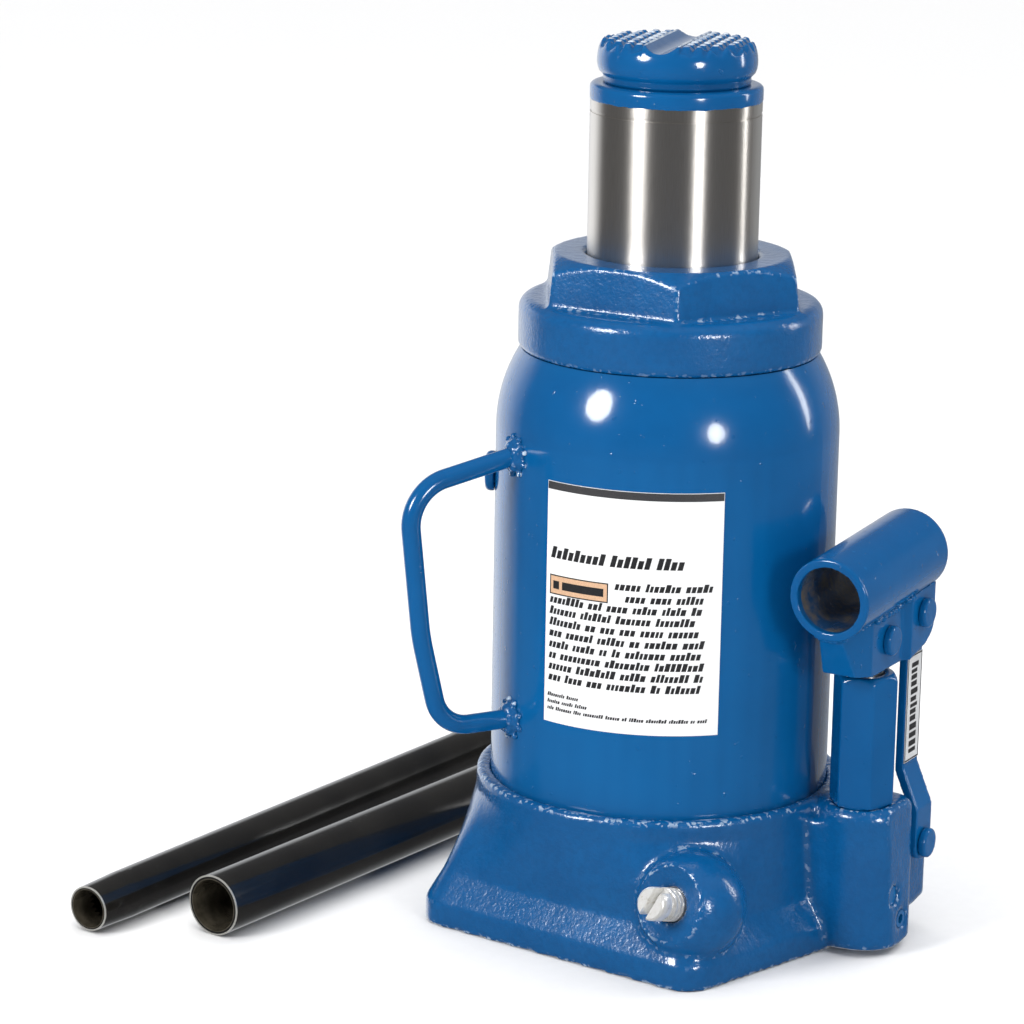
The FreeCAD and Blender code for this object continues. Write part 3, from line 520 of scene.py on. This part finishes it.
# ---------------------------------------------------------------- castings and painted pieces
# of each node: voxel, rounds of smoothing, height of its ripple, size of its ripple
SOFTENED = {
    "base": (1.05, 5, 0.09, 2.4),
    "top_nut": (0.8, 5, 0.07, 2.4),
    "socket_bracket": (0.42, 4, 0.05, 5),
    "pump_cylinder": (0.6, 3),
    "link_plates": (0.5, 3, 0.05, 5),
    "plunger_pin": (0.35, 4, 0.10, 2.5),
    "link_pin_upper": (0.35, 4, 0.10, 2.5),
    "link_pin_lower": (0.35, 4, 0.10, 2.5),
    "handle_socket": (0.5, 3, 0.03, 6),
    "filler_plug": (0.4, 10),
}
for name, amounts in SOFTENED.items():
    soften(NODES[name], *amounts)


# ---------------------------------------------------------------- saddle and extension screw
CHANNEL_R = 7.0             # the drawn channel, a little narrower and deeper than the CAD's
CHANNEL_DEEP = 3.0
CHANNEL_EDGE = 0.8          # the grooves run out this far from it
TEETH_PITCH = (4.1, 5.4)    # across the channel and along it
TEETH_DEEP = 1.8
TEETH_SHIFT = 1.2           # of the grooves that cross the channel
TEETH_STEEP = 3.0           # of their flanks: the higher, the wider their flat tops
TEETH_FADE_Z = (294.6, 297.0)
DOME_DEEP = 0.35            # the top falls by this towards its rim
DOME_FADE_Z = (291.0, 297.5)
SHAPED_ABOVE_Z = 290
SADDLE_SEGMENTS = 420
SADDLE_STEP = 0.33          # between rings of its top
SADDLE_HUB_R = 0.6          # inside which there are no more rings
# (radius, z)
SADDLE_PROFILE = [(14.0, 283.1), (24.0, 283.1), (24.3, 284.0), (24.1, 285.3), (24.6, 286.0), (25.5, 286.9),
                  (26.0, 288.2), (26.2, 289.6), (26.2, 291.0), (26.05, 292.6), (25.75, 294.2), (25.3, 295.6),
                  (24.7, 296.8), (24.0, 297.5), (23.2, 297.85), (22.4, 298.0)]
SCREW_PITCH = 6.0
SCREW_CREST_R = 17.9
SCREW_ROOT_R = 15.1
SCREW_Z = (199.5, 283.2)
SCREW_SEGMENTS = 96
SCREW_STEP = 0.55
# (radius, z)
SCREW_END = [(11.0, 195.0), (12.0, 196.0), (12.0, 198.6), (14.6, 198.9), (SCREW_ROOT_R, SCREW_Z[0])]


def saddle_height(x, y, z):
    """Height of the saddle's surface once its smooth channel and crossed grooves are cut."""
    across = radial(CHANNEL_AZIMUTH - 90)
    along = radial(CHANNEL_AZIMUTH)
    u = x * across.x + y * across.y
    v = x * along.x + y * along.y
    half = math.sqrt(CHANNEL_R ** 2 - (CHANNEL_R - CHANNEL_DEEP) ** 2)
    channel = math.inf
    if abs(u) < CHANNEL_R:
        channel = SADDLE_TOP - CHANNEL_DEEP + CHANNEL_R - math.sqrt(CHANNEL_R ** 2 - u ** 2)
    teeth = []
    for place, pitch in zip((abs(u) - half, v + TEETH_SHIFT), TEETH_PITCH):
        phase = (place / pitch) % 1.0
        teeth.append(min(1.0, TEETH_STEEP * min(phase, 1 - phase)))
    groove = TEETH_DEEP * (1 - min(teeth))
    groove *= smoothstep(*TEETH_FADE_Z, z)
    groove *= smoothstep(half, half + CHANNEL_EDGE, abs(u))
    face_r = SADDLE_PROFILE[-1][0]
    dome = DOME_DEEP * min(1.0, (x * x + y * y) / face_r ** 2) * smoothstep(*DOME_FADE_Z, z)
    return min(z - dome - groove, channel)


def saddle(mesh):
    rings = [ring_points(r, z, SADDLE_SEGMENTS) for r, z in SADDLE_PROFILE]
    radius = SADDLE_PROFILE[-1][0]
    while radius > SADDLE_HUB_R:
        radius -= SADDLE_STEP
        rings.append(ring_points(radius, SADDLE_TOP, SADDLE_SEGMENTS))
    for ring in rings:
        for point in ring:
            if point.z > SHAPED_ABOVE_Z:
                point.z = saddle_height(point.x, point.y, point.z)
    cap_ends(mesh, grid_surface(mesh, rings))


# a thread's tooth: its flank's steepness and how far its foot lies below the root
THREAD_STEEP = 1.35
THREAD_SUNK = 0.35
# the shares of a pitch over which a thread rises at its low end and falls at its high end
THREAD_START = 0.7
THREAD_STOP = 0.5


def helix_rows(low, high, major, minor, pitch, count, step, crest=0.55):
    """Rows of a threaded shaft's surface: a trapezoid that climbs one pitch a turn."""
    rows = []
    total = int((high - low) / step)
    for j in range(total + 1):
        z = low + j * (high - low) / total
        row = []
        fade = smoothstep(0, pitch * THREAD_START, z - low) * smoothstep(0, pitch * THREAD_STOP, high - z)
        for i in range(count):
            phase = (z / pitch - i / count) % 1.0
            rise = (0.5 - abs(phase - 0.5)) * 2 / crest * THREAD_STEEP - THREAD_SUNK
            tooth = min(1.0, max(0.0, rise))
            radius = minor + (major - minor) * tooth * fade
            angle = 2 * math.pi * i / count
            row.append(Vector((radius * math.cos(angle), radius * math.sin(angle), z)))
        rows.append(row)
    return rows


def screw_thread(mesh):
    rows = helix_rows(*SCREW_Z, SCREW_CREST_R, SCREW_ROOT_R, SCREW_PITCH, SCREW_SEGMENTS, SCREW_STEP)
    cap_ends(mesh, grid_surface(mesh, rows))


def screw_end(mesh):
    cap_ends(mesh, grid_surface(mesh, [ring_points(r, z, 64) for r, z in SCREW_END]))


add_piece("saddle", saddle, "extension_screw", SADDLE, ["extension_screw"])
add_piece("screw_thread", screw_thread, "extension_screw", MACHINED)
add_piece("screw_end", screw_end, "extension_screw", MACHINED, sharp=30)


BAND_LOW_Z = 277.75
BAND_CAP_Z = 282.4
BAND_SEGMENTS = 360
BAND_INNER = (0.3, 5.2)     # inside the ram's surface, at its lower edge and at its cap
BAND_WAVES = ((0.22, 3.0, 0.35), (1.1, 7.0, 0.14))      # of its lower edge: scale, layer of noise, height
BAND_STILL = 2.5            # above this height it has no waves
# (height above the band's lower edge, distance out of the ram's surface)
BAND_PROFILE = [(0.0, 0.02), (0.25, 0.13), (0.9, 0.17), (3.6, 0.17), (4.35, 0.05), (4.9, -0.45), (5.2, -1.1),
                (5.33, -1.9), (5.38, -4.2), (5.2, -5.2)]


def ram_band(mesh):
    """Paint on the ram's top end, with an uneven lower edge."""
    count = BAND_SEGMENTS
    rows = []
    for rise, out in BAND_PROFILE:
        row = []
        for point in ring_points(RAM_R + out, BAND_LOW_Z + rise, count):
            wave = 0.0
            for scale, layer, height in BAND_WAVES:
                wave += noise.noise(Vector((point.x * scale, point.y * scale, layer))) * height
            point.z += wave * max(0.0, 1 - rise / BAND_STILL)
            row.append(point)
        rows.append(row)
    made = grid_surface(mesh, rows)
    ways = [Vector((v.co.x, v.co.y, 0)).normalized() for v in made[0]]
    inner, cap = ([mesh.verts.new(way * (RAM_R - inside) + Vector((0, 0, z))) for way in ways]
                  for inside, z in zip(BAND_INNER, (BAND_LOW_Z, BAND_CAP_Z)))
    for low, high in ((inner, made[0]), (made[-1], cap), (cap, inner)):
        for i in range(count):
            j = (i + 1) % count
            mesh.faces.new((low[i], low[j], high[j], high[i]))


add_piece("ram_paint_band", ram_band, "ram", SMOOTH)


# ---------------------------------------------------------------- release valve
VALVE_SPIN = -35            # turn of its slot
VALVE_PITCH = 1.9
VALVE_THREAD_Z = (-8.0, 4.6)
VALVE_CREST_R = 5.48
VALVE_ROOT_R = 4.3
VALVE_CREST = 0.7           # share of its pitch that a tooth takes up
VALVE_SEGMENTS = 72
VALVE_STEP = 0.16
VALVE_SLOT = (3.0, 14, 9.4)
VALVE_SLOT_Z = 10.4
# (radius, z) along its axis, from its mouth: behind the thread, then in front of it
VALVE_INNER = [(1.5, -32.0), (5.1, -29.2), (5.2, -16.2), (3.8, -16.0), (3.8, -13.4), (5.2, -13.2),
               (5.2, -8.2)]
VALVE_OUTER = [(4.5, 4.8), (4.45, 5.1), (4.9, 5.4), (5.4, 5.7), (5.5, 6.1), (5.5, 9.5), (5.3, 10.1),
               (4.8, 10.5)]
CUT_SHARP = 38              # degrees; edges sharper than this stay crisp once a piece is cut


def on_valve(mesh):
    """Moves a mesh drawn about Z to the valve's axis."""
    turn = UP.rotation_difference(VALVE_AXIS)
    spin = Quaternion(VALVE_AXIS, math.radians(VALVE_SPIN))
    place = Matrix.Translation(VALVE_MOUTH) @ (spin @ turn).to_matrix().to_4x4()
    bmesh.ops.transform(mesh, matrix=place, verts=mesh.verts)


def valve_shaft(mesh):
    rows = [ring_points(r, z, VALVE_SEGMENTS) for r, z in VALVE_INNER]
    rows += helix_rows(*VALVE_THREAD_Z, VALVE_CREST_R, VALVE_ROOT_R, VALVE_PITCH, VALVE_SEGMENTS, VALVE_STEP,
                       VALVE_CREST)
    rows += [ring_points(r, z, VALVE_SEGMENTS) for r, z in VALVE_OUTER]
    cap_ends(mesh, grid_surface(mesh, rows))
    on_valve(mesh)


def slot_cutter(mesh):
    place = Matrix.Translation((0, 0, VALVE_SLOT_Z)) @ Matrix.Diagonal((*VALVE_SLOT, 1))
    bmesh.ops.create_cube(mesh, size=1.0, matrix=place)
    on_valve(mesh)


def cut(obj, cutter_maker):
    """Cuts a shape out of a piece for good, then lets the cutter go."""
    cutter_mesh = bmesh.new()
    cutter_maker(cutter_mesh)
    bmesh.ops.scale(cutter_mesh, vec=(MM, MM, MM), verts=cutter_mesh.verts)
    data = bpy.data.meshes.new("cutter")
    cutter_mesh.to_mesh(data)
    cutter_mesh.free()
    cutter = bpy.data.objects.new("cutter", data)
    bpy.context.scene.collection.objects.link(cutter)
    boolean = obj.modifiers.new("cut", "BOOLEAN")
    boolean.operation = "DIFFERENCE"
    boolean.solver = "EXACT"
    boolean.object = cutter
    bpy.context.view_layer.update()
    graph = bpy.context.evaluated_depsgraph_get()
    result = bpy.data.meshes.new_from_object(obj.evaluated_get(graph))
    obj.modifiers.clear()
    obj.data = result
    bpy.data.objects.remove(cutter)
    for polygon in result.polygons:
        polygon.use_smooth = True
    result.set_sharp_from_angle(angle=math.radians(CUT_SHARP))


valve = add_piece("release_valve_screw", valve_shaft, "release_valve", ZINC,
                  ["release_valve"])
cut(valve, slot_cutter)


# ---------------------------------------------------------------- welds
# the carry handle's centre line at its two welds: (radius, z) on the tank, (radius, z) further out
HANDLE_TOP = ((56.6, 163.8), (96.4, 155.6))
HANDLE_LOW = ((56.6, 74), (83.4, 74))
# rings of drops round a handle's end: (radius, drops)
WELD_RING = (4.1, 15)
WELD_UPPER_RING = (3.2, 12)
WELD_RUNS = (6.4, 9)
WELD_UPPER_LIFT = 1.2       # along the rod
WELD_RUN_SCALE = 0.62       # of its drops
WELD_DROP_R = (1.5, 2.15)
WELD_WANDER = 0.08          # of a drop round the ring, in radians
WELD_STAND = 0.3            # of a drop's middle off the wall
WELD_SLIDES = 40


def weld_spots(start, along, radius, count, seed):
    """Places round a rod's end where it meets the tank's wall."""
    draw = random.Random(seed)
    side = along.cross(UP).normalized()
    upper = side.cross(along).normalized()
    centres = []
    radii = []
    for i in range(count):
        angle = 2 * math.pi * i / count + draw.uniform(-WELD_WANDER, WELD_WANDER)
        here = start + (side * math.cos(angle) + upper * math.sin(angle)) * radius
        # slides along the rod until it lies on the wall
        for _ in range(WELD_SLIDES):
            gap = math.hypot(here.x, here.y) - TANK_R - WELD_STAND
            here = here - along * gap
        centres.append(here)
        radii.append(draw.uniform(*WELD_DROP_R))
    return centres, radii


def handle_weld(ends, seed):
    out = radial(HANDLE_AZIMUTH)
    start, end = (out * radius + UP * z for radius, z in ends)
    along = (end - start).normalized()

    def build(mesh):
        centres, radii = weld_spots(start, along, *WELD_RING, seed)
        more, sizes = weld_spots(start, along, *WELD_UPPER_RING, seed + 1)
        runs, thin = weld_spots(start, along, *WELD_RUNS, seed + 2)
        raised = [c + along * WELD_UPPER_LIFT for c in more]
        blobs(mesh, centres + raised + runs, radii + sizes + [r * WELD_RUN_SCALE for r in thin])
    return build


top_weld = add_piece("carry_handle_weld_top", handle_weld(HANDLE_TOP, 11), "base", CASTING,
                     ["carry_handle_welds"])
low_weld = add_piece("carry_handle_weld_low", handle_weld(HANDLE_LOW, 23), "base", CASTING)
for weld_piece in (top_weld, low_weld):
    soften(weld_piece, 0.35, 3)


# rows along the bracket: half their distance apart, beside its nose and then on its wider cheeks
BEAD_NOSE_HALF = 7.9
BEAD_CHEEK_HALF = 9.6
BEAD_NOSE_COUNT = 10
BEAD_COUNT = 13
BEAD_START = 11             # in front of the socket's middle
BEAD_STEP = 2.0
BEAD_R = (1.15, 1.6)
BEAD_WANDER = 0.25
# the row round the front of the nose
FRONT_COUNT = 7
FRONT_STEP = 7              # degrees
FRONT_AT = 28.6             # in front of the socket's middle
FRONT_R = (1.0, 1.35)
FRONT_WANDER = 0.2


def wandering(draw, place, reach):
    return place + Vector([draw.uniform(-reach, reach) for _ in range(3)])


def socket_beads(mesh):
    """Two rows of weld along the bracket's cheeks, and one round the front of its nose."""
    draw = random.Random(5)
    centres = []
    radii = []
    for side in (-1, 1):
        for k in range(BEAD_COUNT):
            half = BEAD_NOSE_HALF if k < BEAD_NOSE_COUNT else BEAD_CHEEK_HALF
            drop = math.sqrt(SOCKET_R ** 2 - half ** 2)
            place = SOCKET_MIDDLE + Vector((side * (half + 0.2), 0, -drop - 0.1))
            place = place - SOCKET_OPENS * (-BEAD_START + k * BEAD_STEP)
            centres.append(wandering(draw, place, BEAD_WANDER))
            radii.append(draw.uniform(*BEAD_R))
    for k in range(FRONT_COUNT):
        angle = math.radians(-90 + (k - FRONT_COUNT // 2) * FRONT_STEP)
        way = Vector((math.cos(angle), 0, math.sin(angle)))
        place = SOCKET_MIDDLE + way * (SOCKET_R + 0.1) + SOCKET_OPENS * FRONT_AT
        centres.append(wandering(draw, place, FRONT_WANDER))
        radii.append(draw.uniform(*FRONT_R))
    blobs(mesh, centres, radii)


beads = add_piece("socket_weld_beads", socket_beads, "socket", SMOOTH, ["socket_welds"])
soften(beads, 0.3, 3)


# ---------------------------------------------------------------- labels
# heights of the print above the tank's or link's face, each kind clear of the one below it
PRINT_LIFT = 0.235
BAND_LIFT = 0.24
EDGE_LIFT = 0.255
ITALIC = 0.25               # sideways lean of the print
# left, right, top and bottom of a box, from the label's top left corner
TOP_BAND = (0.15, 60.4, 0.15, 2.7)
BLOCK = (1.6, 23.4, 31.0, 37.6)
BLOCK_MARKS = [(6.6, 21.8, 33.0, 35.7), (3.0, 5.4, 33.0, 35.7)]
SERIAL_BORDER = [(0.2, 11.0, 0.2, 0.7), (0.2, 11.0, 36.4, 36.9), (0.2, 0.7, 0.2, 36.9),
                 (10.5, 11.0, 0.2, 36.9)]
HEADING = (9, 6, 4)         # blocks in each of its words
HEADING_FOOT = 25.4         # from the label's top
HEADING_TALL = 2.8
HEADING_CAPITAL = 3.9
HEADING_WIDE = 1.7
HEADING_STEP = 2.25
PRINT_TALL = 2.0
SIDE_LINES = [(25.5, 59, 30.9), (29.0, 55, 34.8)]       # beside the block: left, right and top
LINE_COUNT = 8
LINE_LEFT = 1.6
LINE_RIGHT = (52, 59)
LINE_TOP = 38.5
LINE_STEP = 3.75
SMALL_TALL = 0.95
SMALL_LEFT = 1.4
SMALL_TOP = 71.2
SMALL_STEP = 2.3
SMALL_ENDS = (14, 17, 57)


def on_tank(s, t, lift):
    """A point of the tank's label: s millimetres from its left edge, t down from its top."""
    azimuth = LABEL_AZIMUTHS[0] + math.degrees(s / TANK_R)
    return radial(azimuth) * (TANK_R + lift) + UP * (LABEL_Z[1] - t)


def on_link(s, t, lift):
    """A point of the serial label: s millimetres from its front edge, t down from its top."""
    return Vector((LINK_FACE_X + lift, SERIAL_FRONT_Y + s, SERIAL_TOP_Z - t))


def patch(mesh, place, s0, s1, t0, t1, lift, slant=0.0):
    """A thin printed patch that follows its surface."""
    count = max(1, round((s1 - s0) / 1.6))
    rows = []
    for t in (t0, t1):
        shift = (t1 - t) * slant
        rows.append([place(s0 + (s1 - s0) * i / count + shift, t, lift) for i in range(count + 1)])
    grid_surface(mesh, rows, closed_round=False)


def print_line(mesh, draw, s0, s1, t, height):
    """A line of blank text: word-length rows of plain blocks."""
    s = s0
    while s < s1 - 2:
        letters = draw.randint(2, 9)
        for _ in range(letters):
            wide = height * draw.uniform(0.45, 0.8)
            if s + wide > s1:
                break
            tall = height * draw.choice((1.0, 1.0, 1.0, 1.35))
            patch(mesh, on_tank, s, s + wide, t + height - tall, t + height, PRINT_LIFT, ITALIC)
            s += wide + height * 0.20
        s += height * 0.75


def label_print(mesh):
    """A heading, ten lines beside and below the block, and three lines of small print."""
    draw = random.Random(42)
    s = 1.8
    for letters in HEADING:
        for k in range(letters):
            tall = HEADING_CAPITAL if k == 0 or draw.random() < 0.25 else HEADING_TALL
            patch(mesh, on_tank, s, s + HEADING_WIDE, HEADING_FOOT - tall, HEADING_FOOT, PRINT_LIFT, ITALIC)
            s += HEADING_STEP
        s += HEADING_WIDE
    for left, right, top in SIDE_LINES:
        print_line(mesh, draw, left, right, top, PRINT_TALL)
    for k in range(LINE_COUNT):
        print_line(mesh, draw, LINE_LEFT, draw.uniform(*LINE_RIGHT), LINE_TOP + LINE_STEP * k, PRINT_TALL)
    for k, end in enumerate(SMALL_ENDS):
        print_line(mesh, draw, SMALL_LEFT, end, SMALL_TOP + SMALL_STEP * k, SMALL_TALL)


def label_block_edge(mesh):
    s0, s1, t0, t1 = BLOCK
    line = 0.4
    border = [(s0, s1, t0, t0 + line), (s0, s1, t1 - line, t1), (s0, s0 + line, t0, t1),
              (s1 - line, s1, t0, t1)]
    for box in border + BLOCK_MARKS:
        patch(mesh, on_tank, *box, EDGE_LIFT)


def label_band(mesh):
    patch(mesh, on_tank, *TOP_BAND, BAND_LIFT)


def label_block(mesh):
    patch(mesh, on_tank, *BLOCK, PRINT_LIFT)


add_piece("tank_label_band", label_band, "base", INK_GREY)
add_piece("tank_label_print", label_print, "base", INK)
add_piece("tank_label_block", label_block, "base", INK_BLOCK)
add_piece("tank_label_block_edge", label_block_edge, "base", INK)


SERIAL_SIDES = (3.0, 8.4)
SERIAL_FROM = 3.0
SERIAL_TO = 33
SERIAL_TALL = (1.1, 2.2)
SERIAL_GAP = (0.6, 1.0)
SERIAL_SHORTER = (0, 0, 0.9)


def serial_print(mesh):
    """Blank bars down the label, inside a thin border."""
    draw = random.Random(9)
    left, right = SERIAL_SIDES
    t = SERIAL_FROM
    while t < SERIAL_TO:
        tall = draw.uniform(*SERIAL_TALL)
        patch(mesh, on_link, left, right - draw.choice(SERIAL_SHORTER), t, t + tall, BAND_LIFT)
        t += tall + draw.uniform(*SERIAL_GAP)
    for box in SERIAL_BORDER:
        patch(mesh, on_link, *box, BAND_LIFT)


add_piece("serial_label_print", serial_print, "link", INK)


# ---------------------------------------------------------------- floor, light, camera
FLOOR_HALF = 9.0
FLOOR_Z = -0.0002
MIDDLE = (0, 0, 0.17)
# azimuth from the camera, elevation, distance, width, height, power
AREA_LIGHTS = {
    "key_left": (-53, 24, 1.6, 0.50, 0.62, 17),
    "key_front": (30, 10, 1.7, 0.36, 0.42, 8),
    "side_right": (104, 14, 1.5, 0.14, 0.9, 3),
}
SUN_FROM = (0.25, 0.35, 2)
SUN_STRENGTH = 3.4
SUN_ANGLE = 90
TENT_FRONT = (0.5, -0.866, 0.0)     # way from the jack to the camera's side of the room
TENT_SIDE = (0.866, 0.5, 0.0)
TENT_LEFT = (1.15, 1.17, 1.20)
TENT_RIGHT = (0.34, 0.35, 0.36)
ROOM = (0.12, 0.12, 0.122)
CEILING = (0.13, 0.13, 0.135)
CAMERA_AZIMUTH = -60
CAMERA_PLACE = (0.57035, -1.09047, 0.44928)
CAMERA_RIGHT = Vector((0.8660, 0.5, 0.0))
CAMERA_UP = Vector((-0.1228, 0.2127, 0.9694))
CAMERA_ROLL = 0.98
CAMERA_LENS = 133.1


def floor_sheet():
    data = bpy.data.meshes.new("floor")
    half = FLOOR_HALF
    corners = [(-half, -half, 0), (half, -half, 0), (half, half, 0), (-half, half, 0)]
    data.from_pydata(corners, [], [(0, 1, 2, 3)])
    data.materials.append(PAPER)
    made = bpy.data.objects.new("floor", data)
    bpy.context.scene.collection.objects.link(made)
    made.location.z = FLOOR_Z
    made.visible_glossy = False


def aimed(name, kind, place, target, **settings):
    data = bpy.data.lights.new(name, kind)
    for key, value in settings.items():
        setattr(data, key, value)
    made = bpy.data.objects.new(name, data)
    bpy.context.scene.collection.objects.link(made)
    made.location = place
    made.rotation_mode = "QUATERNION"
    made.rotation_quaternion = (Vector(target) - Vector(place)).to_track_quat("-Z", "Y")
    return made


def around(azimuth, elevation, distance):
    """A place seen from the jack at this azimuth to the right of the camera, and this elevation."""
    a = math.radians(CAMERA_AZIMUTH + azimuth)
    e = math.radians(elevation)
    way = Vector((math.cos(a) * math.cos(e), math.sin(a) * math.cos(e), math.sin(e)))
    return Vector(MIDDLE) + way * distance


floor_sheet()
for name, (azimuth, elevation, distance, wide, high, power) in AREA_LIGHTS.items():
    aimed(name, "AREA", around(azimuth, elevation, distance), MIDDLE, shape="ELLIPSE", size=wide, size_y=high,
          energy=power)
sky = aimed("overhead", "SUN", SUN_FROM, (0, 0, 0), energy=SUN_STRENGTH, angle=math.radians(SUN_ANGLE))
sky.visible_glossy = False


def studio_world():
    """A white tent behind the jack, brighter on the left, and a dim room on the camera's side."""
    world = bpy.data.worlds.new("studio")
    bpy.context.scene.world = world
    tree = Tree(world)
    way = tree.node("ShaderNodeTexCoord").outputs["Generated"]
    facing = []
    for direction in (TENT_FRONT, TENT_SIDE):
        dot = tree.node("ShaderNodeVectorMath", operation="DOT_PRODUCT")
        tree.link(way, dot.inputs[0])
        dot.inputs[1].default_value = direction
        facing.append(spread(tree, dot.outputs["Value"], 0.5, 1.0))
    side = tree.ramp(facing[1], [(0.30, TENT_LEFT), (0.62, TENT_RIGHT)])
    depth = tree.ramp(facing[0], [(0.13, (0, 0, 0)), (0.28, (1, 1, 1))])
    level = tree.mix(depth, side, ROOM)
    above = tree.ramp(tree.xyz(way)[2], [(0.25, (0, 0, 0)), (0.38, (1, 1, 1))])
    colour = tree.mix(above, level, CEILING)
    background = tree.node("ShaderNodeBackground")
    tree.link(colour, background.inputs["Color"])
    tree.link(background.outputs[0], tree.node("ShaderNodeOutputWorld").inputs[0])


studio_world()


def place_camera():
    roll = math.radians(CAMERA_ROLL)
    right = CAMERA_RIGHT * math.cos(roll) + CAMERA_UP * math.sin(roll)
    upward = CAMERA_UP * math.cos(roll) - CAMERA_RIGHT * math.sin(roll)
    back = right.cross(upward)
    data = bpy.data.cameras.new("camera")
    data.lens = CAMERA_LENS
    data.sensor_width = 36.0
    data.clip_end = 50
    made = bpy.data.objects.new("camera", data)
    bpy.context.scene.collection.objects.link(made)
    made.matrix_world = Matrix((right, upward, back)).transposed().to_4x4()
    made.location = CAMERA_PLACE
    bpy.context.scene.camera = made


place_camera()
bpy.context.scene.view_settings.view_transform = "Standard"
